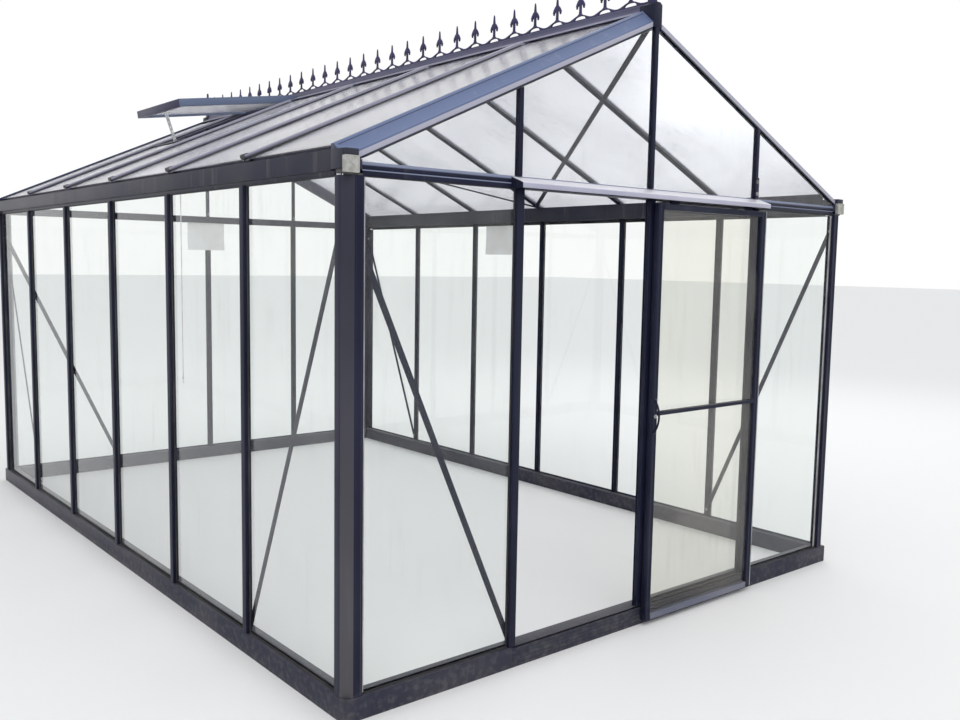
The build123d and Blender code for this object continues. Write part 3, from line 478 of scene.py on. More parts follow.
looks = {
    "bar": paintLook("barPowderCoat", barColours),
    "corner": paintLook("cornerPowderCoat", cornerColours),
    "tie": paintLook("tiePowderCoat", tieColours),
    "base": paintLook("basePowderCoat", baseColours),
    "roofBar": paintLook("roofBarPowderCoat", roofBarColours),
    "vent": paintLook("ventPowderCoat", ventColours),
    "verge": paintLook("vergePowderCoat", vergeColours),
    "fascia": paintLook("fasciaPowderCoat", fasciaColours),
    "ridge": paintLook("ridgePowderCoat", ridgeColours),
    "crest": paintLook("crestCastPaint", crestColours),
    "track": paintLook("trackLitPowderCoat", trackLitColours),
    "doorPale": paintLook("doorFootPaint", doorPaleColours),
    "wallGlass": glassLook("wallGlass", {
        "film": 3.0, "tint": (0.955, 0.975, 0.965), "marked": (0.90, 0.92, 0.90),
        "rough": 0.0, "clear": 0.985, "shadow": (0.95, 0.96, 0.955)}),
    # roof panes: a milky lavender film, stronger than on the walls, partly a film on the glass and
    # partly a painted sky reflection
    "roofGlass": glassLook("roofGlass", {
        "film": 1.3, "tint": (0.87, 0.87, 0.93), "marked": (0.74, 0.74, 0.80),
        "rough": 0.2, "clear": 0.8, "shadow": (0.88, 0.9, 0.9)}),
    "doorGlass": glassLook("doorGlass", {
        "film": 2.4, "tint": (0.94, 0.92, 0.87), "marked": (0.87, 0.85, 0.79),
        "rough": 0.01, "clear": 0.96, "shadow": (0.92, 0.92, 0.9)}),
    "capPlastic": plainLook("capPlastic", {
        "colour": (0.40, 0.395, 0.385), "soiled": (0.27, 0.265, 0.235), "cloud": 40.0,
        "grain": 700.0, "rough": 0.55}),
    "seal": plainLook("glazingRubber", {
        "colour": (0.018, 0.018, 0.02), "soiled": (0.05, 0.048, 0.045), "cloud": 6.0,
        "grain": 900.0, "rough": 0.7}),
    "stay": plainLook("stayAluminium", {
        "colour": (0.72, 0.73, 0.74), "soiled": (0.5, 0.5, 0.5), "cloud": 30.0,
        "grain": 300.0, "rough": 0.36, "metal": 0.9, "stretch": (1, 1, 12)}),
    "paleSeal": plainLook("paleGasket", {
        "colour": (0.40, 0.40, 0.43), "soiled": (0.24, 0.23, 0.22), "cloud": 9.0,
        "grain": 700.0, "rough": 0.6}),
    "plug": plainLook("blackPlug", {
        "colour": (0.020, 0.021, 0.028), "soiled": (0.06, 0.058, 0.055), "cloud": 40.0,
        "grain": 600.0, "rough": 0.5}),
    "steel": plainLook("zincSteel", {
        "colour": (0.42, 0.42, 0.43), "soiled": (0.22, 0.21, 0.2), "cloud": 60.0,
        "grain": 800.0, "rough": 0.38, "metal": 0.9}),
    "cord": plainLook("cordBraid", {
        "colour": (0.80, 0.79, 0.76), "soiled": (0.55, 0.54, 0.50), "cloud": 9.0,
        "grain": 900.0, "rough": 0.85, "stretch": (1, 1, 0.45), "bump": 0.8, "deep": 0.0008}),
    "card": plainLook("cardPaper", {
        "colour": (0.93, 0.93, 0.92), "soiled": (0.85, 0.84, 0.81), "cloud": 7.0,
        "grain": 500.0, "rough": 0.6}),
    "nylon": plainLook("rollerNylon", {
        "colour": (0.62, 0.61, 0.58), "soiled": (0.3, 0.29, 0.27), "cloud": 80.0,
        "grain": 600.0, "rough": 0.45}),
}
print("materials ready:", len(looks))


# pull cord and knot; the clip is eased with the frame pieces
cordFacts = {"x": -0.668, "y": 1.118, "heights": (2.272, 1.78, 1.29, 0.792), "radius": 0.003}
cordLine = [(cordFacts["x"], cordFacts["y"], z) for z in cordFacts["heights"]]
pickNone()
bpy.ops.curve.primitive_nurbs_path_add()
ventCordCurve = bpy.context.object
ventCordCurve.name = "ventPullCord"
ventCordCurve.data.splines.clear()
spline = ventCordCurve.data.splines.new("NURBS")
spline.points.add(len(cordLine) - 1)
for point, place in zip(spline.points, cordLine):
    point.co = (*place, 1)
spline.order_u = 3
spline.use_endpoint_u = True
ventCordCurve.data.dimensions = "3D"
ventCordCurve.data.bevel_depth = cordFacts["radius"]
ventCordCurve.data.bevel_resolution = 3
ventCordCurve.data.use_fill_caps = True
finished(ventCordCurve, looks["cord"], replaced=["vent_cord"])


def makeKnot():
    # two turns of cord drawn tight, with two frayed tails
    knot = {"z": 0.784, "turn": 0.0052, "thick": 0.0028, "apart": 0.003, "tilt": 35,
            "tail": 0.037, "tailRadius": 0.0019, "fray": 1.25, "frayRim": 0.0004, "lean": 14}
    pickNone()
    rings = []
    for side in (1, -1):
        tilt = side * knot["tilt"]
        bpy.ops.mesh.primitive_torus_add(
            major_segments=24, minor_segments=10, major_radius=knot["turn"],
            minor_radius=knot["thick"],
            location=(cordFacts["x"], cordFacts["y"], knot["z"] + side * knot["apart"]),
            rotation=(math.radians(tilt), math.radians(tilt / 2), 0))
        rings.append(named("knotRing"))
    tails = []
    for side in (-1, 1):
        tail = newRound("knotTail", (0, 0, -knot["tail"] / 2), knot["tailRadius"],
                        knot["tail"], 10)
        pickFaces(tail, lambda centre, normal: normal.z < -0.9)
        bpy.ops.mesh.inset(thickness=knot["frayRim"])
        bpy.ops.transform.resize(value=(knot["fray"], knot["fray"], 1),
                                 center_override=(0, 0, -knot["tail"]))
        objectMode()
        tail.data.transform(moved(cordFacts["x"], cordFacts["y"], knot["z"] - knot["apart"])
                            @ turned(side * knot["lean"], "X"))
        tails.append(tail)
    piece = joined("ventCordKnot", rings + tails)
    bpy.ops.object.shade_smooth_by_angle(angle=math.radians(50))
    return piece


knotPiece = finished(makeKnot(), looks["cord"], replaced=["vent_cord_knot"])
print("pull cord hung")


# bars, beams and rails: the CAD shapes with their edges eased

# border and depth of the panel in the broad faces of a node
grooveFacts = {
    "corner_posts": (0.006, 0.0018), "door_stiles": (0.005, 0.0012), "door_rails": (0.004, 0.001),
    "door_bottom_rail": (0.004, 0.001), "ridge_end_caps": (0.006, 0.0012),
    "verge_rafters": (0.011, 0.002),
}
panelFacts = {"slack": 0.0005, "slopedArea": 0.02, "breadth": 2.5}
weldFacts = {"gap": 0.00002, "bend": 0.5}  # what counts as one point and as one plane


def panelled(piece, edge, depth):
    # sinks a panel into the broad outer faces at the front and rear
    pickFaces(piece, lambda centre, normal: False)  # clears the selection
    objectMode()
    points = piece.data.vertices
    for face in piece.data.polygons:
        spans = []
        for axis in (0, 2):
            along = [points[i].co[axis] for i in face.vertices]
            spans.append(max(along) - min(along))
        outward = face.center.y * face.normal.y > 0
        straight = abs(face.normal.y) > 0.99
        proud = abs(face.center.y) > halfLength + house["noseOut"] - panelFacts["slack"]
        broad = min(spans) > panelFacts["breadth"] * edge
        sloped = (0.4 < abs(face.normal.y) < 0.95 and face.normal.z > 0.3
                  and face.area > panelFacts["slopedArea"])
        face.select = outward and (sloped or straight and proud and broad)
    bpy.ops.object.mode_set(mode="EDIT")
    bpy.ops.mesh.inset(thickness=edge, depth=0)
    bpy.ops.mesh.inset(thickness=depth, depth=-depth)
    objectMode()


def eased(nodeName, pieceName, look, width, body="frame"):
    # a copy of a node's shape with panels and soft edges, which stands for that node
    piece = nodes[nodeName].copy()
    piece.data = nodes[nodeName].data.copy()
    piece.parent = None
    for key in list(piece.keys()):
        del piece[key]
    bpy.context.scene.collection.objects.link(piece)
    piece.name = piece.data.name = pieceName
    pick(piece)
    bpy.ops.object.mode_set(mode="EDIT")
    bpy.ops.mesh.select_all(action="SELECT")
    bpy.ops.mesh.remove_doubles(threshold=weldFacts["gap"])
    bpy.ops.mesh.dissolve_limited(angle_limit=math.radians(weldFacts["bend"]))
    objectMode()
    if nodeName in grooveFacts:
        panelled(piece, *grooveFacts[nodeName])
    return finished(softEdges(piece, width), look, body, [nodeName])


# name, look and width of the eased edges of each piece of the frame
framePieces = {
    "base_rails_ends": ("baseRailsEnds", "base", 0.0015),
    "door_threshold": ("doorThreshold", "base", 0.0006),
    "base_rails_sides": ("baseRailsSides", "base", 0.0015),
    "corner_posts": ("cornerPosts", "corner", 0.0015),
    "side_wall_posts": ("sideWallPosts", "bar", 0.0008),
    "end_wall_posts": ("endWallPosts", "bar", 0.0008),
    "gable_posts": ("gablePosts", "bar", 0.0008),
    "tie_beams": ("tieBeams", "tie", 0.001),
    "end_wall_sills": ("endWallSills", "bar", 0.001),
    "side_wall_sills": ("sideWallSills", "bar", 0.001),
    "eave_gutters": ("eaveGutters", "fascia", 0.0012),
    "eave_corner_blocks": ("eaveCornerBlocks", "fascia", 0.001),
    "verge_rafters": ("vergeRafters", "verge", 0.0015),
    "roof_bars": ("roofBars", "roofBar", 0.0008),
    "ridge_beam": ("ridgeBeam", "ridge", 0.0012),
    "ridge_end_caps": ("ridgeEndCaps", "bar", 0.0015),
    "wall_braces": ("wallBraces", "bar", 0.0005),
    "roof_braces": ("roofBraces", "bar", 0.0005),
    "ridge_cresting": ("ridgeCresting", "crest", 0.0012),
    "ridge_end_finials": ("ridgeEndFinials", "crest", 0.002),
    "vent_frame": ("ventFrame", "vent", 0.001),
    "vent_sill_bar": ("ventSillBar", "bar", 0.001),
    "vent_cord_clip": ("ventCordClip", "bar", 0.0008),
    "door_track_back": ("doorTrackBack", "bar", 0.0005),
    "door_track_shelf": ("doorTrackShelf", "bar", 0.0005),
    "door_track_top": ("doorTrackTop", "track", 0.0008),
    "door_track_nose": ("doorTrackNose", "track", 0.001),
    "door_track_end_caps": ("doorTrackEndCaps", "bar", 0.0006),
}
dressed = {}
for nodeName, (pieceName, lookName, width) in framePieces.items():
    dressed[nodeName] = eased(nodeName, pieceName, looks[lookName], width)
doorEdge, stayEdge = 0.001, 0.0004  # widths of the eased edges of door and stay
for nodeName, pieceName in (("door_stiles", "doorStiles"), ("door_rails", "doorRails"),
                            ("door_hangers", "doorHangers")):
    eased(nodeName, pieceName, looks["bar"], doorEdge, "door")
eased("door_bottom_rail", "doorBottomRail", looks["doorPale"], doorEdge, "door")
eased("vent_stay", "ventStay", looks["stay"], stayEdge)
for nodeName, lookName in (("end_wall_glass", "wallGlass"), ("side_wall_glass", "wallGlass"),
                           ("gable_glass", "wallGlass"), ("roof_glass", "roofGlass"),
                           ("vent_glass", "roofGlass"), ("door_glass", "doorGlass"),
                           ("door_axles", "steel"), ("door_rollers", "nylon")):
    nodes[nodeName].data.materials.clear()
    nodes[nodeName].data.materials.append(looks[lookName])
print("frame and door dressed")

# spears of the cresting: leaves parted from the stem, with a collar under them
spearFacts = {
    "foot": 2.6481, "pitch": bay / 5, "count": 30, "crown": 0.030, "stem": 0.0058,
    "reach": 0.0205, "low": 0.020, "high": 0.050, "cutDrop": 0.019, "leafLow": 0.033,
    "droop": 0.006, "gapHalf": 0.02, "collar": 0.0086, "collarHigh": 0.009, "collarUp": 0.012,
    "collarFlat": 0.62, "collarEdge": 0.003, "endScale": 1.4, "endY": 2.202, "endDrop": 0.011,
    "slack": 0.001, "leafSlack": 0.0008,
}
spearSpots = [moved(0, (i - spearFacts["count"] / 2) * spearFacts["pitch"], spearFacts["foot"])
              for i in range(1, spearFacts["count"])]
finialSpots = [moved(0, side * spearFacts["endY"], spearFacts["foot"])
               @ Matrix.Scale(spearFacts["endScale"], 4) @ moved(0, 0, -spearFacts["endDrop"])
               for side in (-1, 1)]


def partLeaves(piece, spots):
    # cuts the gap between stem and leaf at both sides of each spear, then draws the tips down
    crown, top = spearFacts["crown"], spearFacts["crown"] + spearFacts["high"]
    wedge = newBar("leafGap", (-spearFacts["gapHalf"], spearFacts["stem"],
                               crown + spearFacts["low"]),
                   (spearFacts["gapHalf"], spearFacts["reach"], top))
    pickEdges(wedge, lambda a, b: min(a.y, b.y) > spearFacts["reach"] - spearFacts["slack"]
              and min(a.z, b.z) > top - spearFacts["slack"])
    bpy.ops.transform.translate(value=(0, 0, -spearFacts["cutDrop"]))
    objectMode()
    gaps = spread("leafGaps", wedge, [spot @ side for spot in spots
                                      for side in (Matrix.Identity(4), mirrorY())])
    pick(piece)
    bpy.ops.object.modifier_add(type="BOOLEAN")
    cut = piece.modifiers[-1]
    cut.operation = "DIFFERENCE"
    cut.solver = "EXACT"
    cut.object = gaps
    bpy.ops.object.modifier_apply(modifier=cut.name)
    bpy.data.objects.remove(gaps)
    leafZ = (spots[0] @ Vector((0, 0, crown + spearFacts["leafLow"]))).z
    pickFaces(piece, lambda centre, normal: normal.z < -0.9
              and abs(centre.z - leafZ) < spearFacts["leafSlack"])
    bpy.ops.transform.translate(value=(0, 0, -spearFacts["droop"]))
    objectMode()


partLeaves(dressed["ridge_cresting"], spearSpots)
partLeaves(dressed["ridge_end_finials"], finialSpots)
collar = newRound("spearCollar", (0, 0, spearFacts["crown"] + spearFacts["collarUp"]),
                  spearFacts["collar"], spearFacts["collarHigh"], 16)
softEdges(collar, spearFacts["collarEdge"], 3)
collar.data.transform(Matrix.Diagonal((spearFacts["collarFlat"], 1, 1, 1)))
finished(spread("spearCollars", collar, spearSpots + finialSpots), looks["crest"])
print("spears cut:", len(spearSpots) + len(finialSpots))


# moulded caps on the gutter ends, with a rim round a shallow face
capFacts = {"left": -1.506, "right": -1.451, "low": 1.848, "high": 1.903, "out": 0.017,
            "corner": 0.004, "rim": 0.0035, "step": 0.0008, "sunk": 0.0012, "edge": 0.0004,
            "sharp": 40}
endCap = newBar("gutterEndCap", (capFacts["left"], -halfLength - capFacts["out"], capFacts["low"]),
                (capFacts["right"], -halfLength, capFacts["high"]))
pickEdges(endCap, lambda a, b: abs(a.y - b.y) > 0.01)
bpy.ops.mesh.bevel(offset=capFacts["corner"], segments=4)
objectMode()
pickFaces(endCap, lambda centre, normal: normal.y < -0.9)
bpy.ops.mesh.inset(thickness=capFacts["rim"])
bpy.ops.mesh.inset(thickness=capFacts["step"])
bpy.ops.transform.translate(value=(0, capFacts["sunk"], 0))
objectMode()
softEdges(endCap, capFacts["edge"], 2, capFacts["sharp"])
finished(spread("gutterEndCaps", endCap, fourCorners(Matrix.Identity(4))),
         looks["capPlastic"], "frame", ["gutter_end_caps"])

# packing between the corner posts and the blocks above them
packFacts = {"out": 0.010, "in": 0.054, "wide": 0.0105, "sideStart": 0.0005, "low": 1.842,
             "thin": 1.8474, "high": 1.8616, "chamfer": 0.018, "edge": 0.0006}
packPlate = newBar("postPacking", (-packFacts["out"], -packFacts["out"], packFacts["low"]),
                   (packFacts["in"], packFacts["wide"], packFacts["thin"]))
pickEdges(packPlate, lambda a, b: abs(a.z - b.z) > 0.004 and max(a.x, b.x, a.y, b.y) < 0)
bpy.ops.mesh.bevel(offset=packFacts["chamfer"], segments=1)
objectMode()
packSide = newBar("postPackingSide",
                  (-packFacts["out"], packFacts["sideStart"], packFacts["thin"]),
                  (packFacts["wide"], packFacts["in"], packFacts["high"]))
packing = softEdges(joined("postPacking", [packPlate, packSide]), packFacts["edge"])
finished(spread("postPacking", packing, fourCorners(moved(-halfWidth, -halfLength))),
         looks["plug"])

# rubber and pale gaskets along the glass
sealFacts = {"wide": 0.0035, "deep": 0.0055, "edge": 0.0014, "slopeLow": 0.02,
             "slopeRun": 1.5, "paleWide": 0.011, "paleDeep": 0.003, "paleEdge": 0.001,
             "paleInset": 0.004}


def makeStrip(name, wide, deep, edge):
    # a strip one metre long up z, with its outer face at -y and rounded there
    strip = newBar(name, (0, -deep, 0), (wide, 0, 1))
    pickEdges(strip, lambda a, b: a.y < -0.9 * deep and b.y < -0.9 * deep
              and abs(a.z - b.z) > 0.5)
    bpy.ops.mesh.bevel(offset=edge, segments=3)
    objectMode()
    bpy.ops.object.shade_smooth_by_angle(angle=math.radians(40))
    return strip


def stripsOf(wall, stations, half, cornerHalf, zLow, zHigh, wide, skip=()):
    # a strip at each side of each bay of a wall, then one along its foot and head
    places = []
    count = len(stations) - 1
    for i in range(count):
        if i in skip:
            continue
        low = stations[i] + (cornerHalf if i == 0 else half)
        high = stations[i + 1] - (cornerHalf if i == count - 1 else half)
        base = walls[wall] @ moved(0, house["glassOut"], 0)
        places.append(base @ moved(low, 0, zLow) @ longer(zHigh - zLow))
        places.append(base @ moved(high - wide, 0, zLow) @ longer(zHigh - zLow))
        for z in (zLow + wide, zHigh):
            places.append(base @ moved(low, 0, z) @ turned(90, "Y") @ longer(high - low))
    return places


rubberPlaces = []
for wallName, stations, skip in (("front", endStations, (1,)), ("rear", endStations, ()),
                                 ("left", sideStations, ()), ("right", sideStations, ())):
    rubberPlaces += stripsOf(wallName, stations, house["barHalf"], house["cornerWidth"],
                             house["baseTop"], house["beamZ"], sealFacts["wide"], skip)
for slopeName in ("leftSlope", "rightSlope"):
    rubberPlaces += [
        walls[slopeName] @ moved(x + side, house["glassOut"], sealFacts["slopeLow"])
        @ longer(sealFacts["slopeRun"])
        for x in sideStations[1:-1]
        for side in (house["barHalf"], -house["barHalf"] - sealFacts["wide"])]
rubber = makeStrip("glazingRubber", sealFacts["wide"], sealFacts["deep"], sealFacts["edge"])
finished(spread("glazingRubber", rubber, rubberPlaces), looks["seal"])

pale = makeStrip("paleGasket", sealFacts["paleWide"], sealFacts["paleDeep"],
                 sealFacts["paleEdge"])
palePlaces = []
for wallName in ("front", "rear"):
    post = walls[wallName] @ moved(house["cornerWidth"] - halfWidth + sealFacts["wide"],
                                   house["glassOut"],
                                   house["baseTop"] + sealFacts["paleInset"])
    post = post @ longer(house["beamZ"] - house["baseTop"] - 2 * sealFacts["paleInset"])
    palePlaces += [post, mirrorX() @ post]
finished(spread("paleGasket", pale, palePlaces), looks["paleSeal"])

# dark lip under the pale painted highlight band of the verges
lipFacts = {"wide": 0.0046, "deep": 0.003, "edge": 0.001, "in": 0.0005, "up": 0.0045,
            "depth": 0.0705, "low": 0.05, "run": 1.5}
rake = (walls["leftSlope"]
        @ moved(halfLength - lipFacts["in"], lipFacts["depth"], lipFacts["low"])
        @ turned(90, "Z") @ moved(-lipFacts["up"], 0, 0) @ longer(lipFacts["run"]))
lip = makeStrip("vergeLip", lipFacts["wide"], lipFacts["deep"], lipFacts["edge"])
finished(spread("vergeLip", lip, fourCorners(rake)), looks["seal"])
print("gaskets laid:", len(rubberPlaces) + len(palePlaces))

# hexagon bolts on washers
boltFacts = {"head": 0.0062, "high": 0.0042, "crown": 0.0012, "rise": 0.0007,
             "washer": 0.0095, "thin": 0.0014, "edge": 0.0004}


def makeBolt():
    # points along y, away from the face that it holds
    washer = newRound("boltWasher", (0, boltFacts["thin"] / 2, 0), boltFacts["washer"],
                      boltFacts["thin"], 16, (math.radians(90), 0, 0))
    softEdges(washer, boltFacts["edge"], 1)
    head = newRound("boltHead", (0, boltFacts["thin"] + boltFacts["high"] / 2, 0),
                    boltFacts["head"], boltFacts["high"], 6, (math.radians(90), 0, 0))
    pickFaces(head, lambda centre, normal: normal.y > 0.9)
    bpy.ops.mesh.inset(thickness=boltFacts["crown"])
    bpy.ops.transform.translate(value=(0, boltFacts["rise"], 0))
    objectMode()
    softEdges(head, boltFacts["edge"], 1)
    return joined("bolt", [washer, head])


braceFacts = {"start": 0.027, "foot": 0.118, "endTop": 1.700, "sideTop": 1.778,
              "face": 0.023, "headIn": 0.007, "footIn": 0.004, "postBolt": 0.02}


def braceBolts(wall, length, top):
    # one bolt at the head and one at the foot of a wall brace
    slope = (top - braceFacts["foot"]) / (bay - braceFacts["start"])
    headX, footX = braceFacts["start"] + braceFacts["headIn"], bay - braceFacts["footIn"]
    return [walls[wall] @ moved(x - length / 2, braceFacts["face"],
                                top - slope * (x - braceFacts["start"]))
            for x in (headX, footX)]


boltPlaces = braceBolts("front", 2 * halfWidth, braceFacts["endTop"])
boltPlaces += [mirrorY() @ place for place in boltPlaces]
sideBolts = braceBolts("left", 2 * halfLength, braceFacts["sideTop"])
sideBolts += [mirrorY() @ place for place in sideBolts]
boltPlaces += sideBolts + [mirrorX() @ place for place in sideBolts]
for k in (1, 2, 3):  # gable posts on the tie beams, seen from inside
    inner = walls["front"] @ moved(endStations[k], house["barDepth"],
                                   house["tieTop"] + braceFacts["postBolt"])
    boltPlaces += [inner, mirrorY() @ inner]
finished(spread("braceBolts", makeBolt(), boltPlaces), looks["steel"])

# plate on the foot of the gable post that also carries the end of the track
plateFacts = {"half": 0.014, "low": 1.890, "high": 1.985, "thick": 0.003, "out": 0.005,
              "corner": 0.005, "edge": 0.0006, "bolts": (1.91, 1.965)}
plate = newBar("trackPlate", (endStations[3] - plateFacts["half"],
                              -halfLength - plateFacts["out"] - plateFacts["thick"],
                              plateFacts["low"]),
               (endStations[3] + plateFacts["half"], -halfLength - plateFacts["out"],
                plateFacts["high"]))
pickEdges(plate, lambda a, b: abs(a.y - b.y) > 0.001)
bpy.ops.mesh.bevel(offset=plateFacts["corner"], segments=4)
objectMode()
finished(softEdges(plate, plateFacts["edge"]), looks["bar"])
outer = walls["front"] @ moved(endStations[3], -plateFacts["out"] - plateFacts["thick"], 0)
finished(spread("trackPlateBolts", makeBolt(),
                [outer @ moved(0, 0, z) @ turned(180, "Z") for z in plateFacts["bolts"]]),
         looks["steel"])
print("bolts set:", len(boltPlaces) + len(plateFacts["bolts"]))

# pins of the vent stay and screws along the hinge of the vent
stayFacts = {"x": -0.702, "y": 1.118, "z": 2.3165, "half": 0.0022}
hingeFacts = {"x": -0.0275, "z": 2.606, "low": 0.80, "high": 1.43, "count": 5, "size": 0.7}
pinPlaces = [moved(stayFacts["x"], stayFacts["y"] + side * stayFacts["half"], stayFacts["z"])
             @ turned(0 if side > 0 else 180, "Z") for side in (-1, 1)]
step = (hingeFacts["high"] - hingeFacts["low"]) / (hingeFacts["count"] - 1)
pinPlaces += [moved(hingeFacts["x"], hingeFacts["low"] + i * step, hingeFacts["z"])
              @ turned(90, "Z") @ Matrix.Scale(hingeFacts["size"], 4)
              for i in range(hingeFacts["count"])]
finished(spread("ventPins", makeBolt(), pinPlaces), looks["steel"])

# rounded plugs in the lower ends of the roof bars
plugFacts = {"half": 0.0165, "long": 0.022, "rise": 0.013, "sunk": 0.004, "edge": 0.006}
plug = newBar("barPlug", (-plugFacts["half"], -plugFacts["rise"], -plugFacts["sunk"]),
              (plugFacts["half"], plugFacts["sunk"], plugFacts["long"]))
pickEdges(plug, lambda a, b: max(a.y, b.y) < 0)
bpy.ops.mesh.bevel(offset=plugFacts["edge"], segments=4)
objectMode()
bpy.ops.object.shade_smooth_by_angle(angle=math.radians(40))
finished(spread("roofBarPlugs", plug, [walls[slopeName] @ moved(x, 0, 0)
                                       for slopeName in ("leftSlope", "rightSlope")
                                       for x in sideStations[1:-1]]),
         looks["plug"])

# bow handle on two roses, and the lock between them
gripFacts = {"x": 0.017, "z": 0.926, "face": 2.280, "out": 0.022, "reach": 0.067,
             "radius": 0.0045, "sides": 14, "steps": 20, "rose": 0.009, "roseRim": 0.0022,
             "roseRise": 0.0006, "roseEdge": 0.0005, "thick": 0.003, "screwOut": 0.0062,
             "screwSize": 0.3}
lockFacts = {"radius": 0.009, "high": 0.004, "rim": 0.0022, "sunk": 0.0008, "edge": 0.0005,
             "slotHalf": 0.0008, "slotTall": 0.0032, "slotTop": 0.0002, "slotFoot": 0.0012,
             "slotEdge": 0.0003}


def makeHandle():
    reach, out = gripFacts["reach"], gripFacts["out"]
    bow = (reach ** 2 + out ** 2) / (2 * out)  # radius of the arc from rose to rose
    centre = (gripFacts["x"], -gripFacts["face"] - out + bow, gripFacts["z"])
    swing = math.asin(reach / bow)
    pickNone()
    bpy.ops.mesh.primitive_circle_add(
        vertices=gripFacts["sides"], radius=gripFacts["radius"],
        location=(centre[0], centre[1] - bow, centre[2]))
    grip = named("doorGrip")
    around = moved(*centre) @ Matrix.Rotation(swing, 4, "X") @ moved(*[-c for c in centre])
    grip.data.transform(around)
    pick(grip)
    bpy.ops.object.mode_set(mode="EDIT")
    bpy.ops.mesh.select_all(action="SELECT")
    bpy.ops.mesh.spin(steps=gripFacts["steps"], angle=2 * swing, center=centre, axis=(1, 0, 0))
    bpy.ops.mesh.select_all(action="SELECT")
    bpy.ops.mesh.fill_holes(sides=gripFacts["sides"])
    bpy.ops.mesh.normals_make_consistent(inside=False)
    objectMode()
    bpy.ops.object.shade_smooth_by_angle(angle=math.radians(50))
    pieces = [grip]
    for side in (-1, 1):
        middle = (gripFacts["x"], -gripFacts["face"] - gripFacts["thick"] / 2,
                  gripFacts["z"] + side * reach)
        rose = newRound("gripRose", middle, gripFacts["rose"], gripFacts["thick"], 28,
                        (math.radians(90), 0, 0))
        pickFaces(rose, lambda place, normal: normal.y < -0.9)
        bpy.ops.mesh.inset(thickness=gripFacts["roseRim"])
        bpy.ops.transform.translate(value=(0, -gripFacts["roseRise"], 0))
        objectMode()
        pieces.append(softEdges(rose, gripFacts["roseEdge"]))
    return joined("doorBowHandle", pieces)


def makeLock():
    face = -gripFacts["face"] - lockFacts["high"]
    barrel = newRound("lockBarrel", (gripFacts["x"], face + lockFacts["high"] / 2,
                                     gripFacts["z"]), lockFacts["radius"], lockFacts["high"],
                      28, (math.radians(90), 0, 0))
    pickFaces(barrel, lambda place, normal: normal.y < -0.9)
    bpy.ops.mesh.inset(thickness=lockFacts["rim"])
    bpy.ops.transform.translate(value=(0, lockFacts["sunk"], 0))
    objectMode()
    softEdges(barrel, lockFacts["edge"])
    wide, tall = lockFacts["slotHalf"], lockFacts["slotTall"]
    slot = newBar("lockSlot",
                  (gripFacts["x"] - wide, face + lockFacts["slotTop"], gripFacts["z"] - tall),
                  (gripFacts["x"] + wide, face + lockFacts["slotFoot"], gripFacts["z"] + tall))
    softEdges(slot, lockFacts["slotEdge"])
    return barrel, slot


finished(makeHandle(), looks["bar"], "door", ["door_handle"])
lockBarrel, lockSlot = makeLock()
finished(lockBarrel, looks["steel"], "door", ["door_lock"])
finished(lockSlot, looks["plug"], "door")
screwPlaces = [moved(gripFacts["x"], -gripFacts["face"] - gripFacts["thick"],
                     gripFacts["z"] + side * (gripFacts["reach"] + gripFacts["screwOut"]))
               @ turned(180, "Z") @ Matrix.Scale(gripFacts["screwSize"], 4)
               for side in (-1, 1)]
finished(spread("handleScrews", makeBolt(), screwPlaces), looks["steel"], "door")
print("handle and lock fitted")

# pale trim along the right edge of the door
trimFacts = {"x": 0.766, "y": -2.280, "z": 0.026, "long": 1.798, "wide": 0.004,
             "deep": 0.002, "edge": 0.0008}
trim = makeStrip("doorEdgeTrim", trimFacts["wide"], trimFacts["deep"], trimFacts["edge"])
trimPlace = moved(trimFacts["x"], trimFacts["y"], trimFacts["z"]) @ longer(trimFacts["long"])
finished(spread("doorEdgeTrim", trim, [trimPlace]), looks["paleSeal"], "door")

# two blank cards hung inside, one on a rear post and one on the glass of the right wall
cardFacts = {"wide": 0.297, "high": 0.210, "thick": 0.0006, "curl": 0.004, "z": 1.735,
             "off": 0.0015, "rearX": 0.021, "rightX": 0.458}


def makeCard(name):
    pickNone()
    bpy.ops.mesh.primitive_grid_add(x_subdivisions=10, y_subdivisions=6, size=1,
                                    rotation=(math.radians(90), 0, 0))
    bpy.ops.transform.resize(value=(cardFacts["wide"], 1, cardFacts["high"]))
    card = named(name)
    pickFaces(card, lambda centre, normal: centre.z < -0.3 * cardFacts["high"])
    bpy.ops.transform.translate(value=(0, cardFacts["curl"], 0))
    objectMode()
    pick(card)
    bpy.ops.object.modifier_add(type="SOLIDIFY")
    card.modifiers[-1].thickness = cardFacts["thick"]
    card.modifiers[-1].offset = 1
    bpy.ops.object.modifier_apply(modifier=card.modifiers[-1].name)
    bpy.ops.object.shade_smooth_by_angle(angle=math.radians(60))
    return card


cardPlaces = [
    walls["rear"] @ moved(cardFacts["rearX"], house["barDepth"] + cardFacts["off"],
                          cardFacts["z"]),
    walls["right"] @ moved(cardFacts["rightX"], house["glassIn"] + cardFacts["off"],
                           cardFacts["z"])]
finished(spread("blankCards", makeCard("blankCard"), cardPlaces), looks["card"])
print("cards taped")


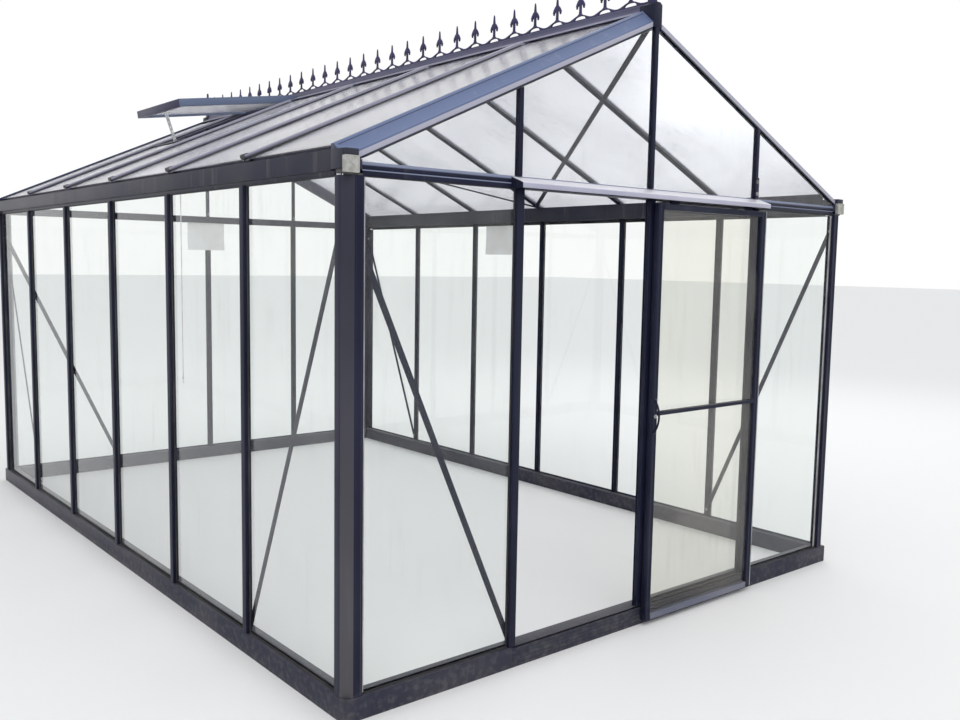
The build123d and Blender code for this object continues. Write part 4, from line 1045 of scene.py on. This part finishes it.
# floor, lamps (place, size and power) and world
studio = {"floor": (0.86, 0.86, 0.855), "reach": 160, "rough": 0.8, "shine": 0.1, "sky": 1.0,
          "fill": 0.95, "fillColour": (0.97, 0.98, 1), "aim": (0, 0, 1.2)}
lamps = {"keyLamp": ((-3.5, -6.5, 7.5), 5.0, 190), "sideLamp": ((6.5, 1.0, 6.0), 6.0, 90)}
pickNone()
bpy.ops.mesh.primitive_plane_add(size=studio["reach"])
floor = named("studioFloor")
floorLook, _, floorShader, _ = newLook("studioFloorPaint")
floorShader.inputs["Base Color"].default_value = (*studio["floor"], 1)
floorShader.inputs["Roughness"].default_value = studio["rough"]
floorShader.inputs["Specular IOR Level"].default_value = studio["shine"]
floor.data.materials.append(floorLook)
world = bpy.data.worlds.new("studioWorld")
bpy.context.scene.world = world
world.use_nodes = True
worldTree = world.node_tree
fill = worldTree.nodes["Background"]
fill.inputs["Color"].default_value = (*studio["fillColour"], 1)
fill.inputs["Strength"].default_value = studio["fill"]
bright = worldTree.nodes.new("ShaderNodeBackground")
bright.inputs["Strength"].default_value = studio["sky"]
bright.inputs["Color"].default_value = (1, 1, 1, 1)
rays = worldTree.nodes.new("ShaderNodeLightPath")
seen = mathOf(worldTree, "MAXIMUM", rays.outputs["Is Camera Ray"], rays.outputs["Is Glossy Ray"])
seen = mathOf(worldTree, "MAXIMUM", seen, rays.outputs["Is Transmission Ray"])
blend = worldTree.nodes.new("ShaderNodeMixShader")
worldTree.links.new(seen, blend.inputs[0])
worldTree.links.new(fill.outputs[0], blend.inputs[1])
worldTree.links.new(bright.outputs[0], blend.inputs[2])
worldTree.links.new(blend.outputs[0], worldTree.nodes["World Output"].inputs["Surface"])
for name, (place, size, power) in lamps.items():
    bpy.ops.object.light_add(type="AREA", location=place)
    lamp = bpy.context.object
    lamp.name = name
    lamp.data.size = size
    lamp.data.energy = power
    aim = (Vector(studio["aim"]) - Vector(place)).to_track_quat("-Z", "Y")
    lamp.rotation_euler = aim.to_euler()
bpy.context.scene.view_settings.view_transform = "Standard"
print("studio ready")
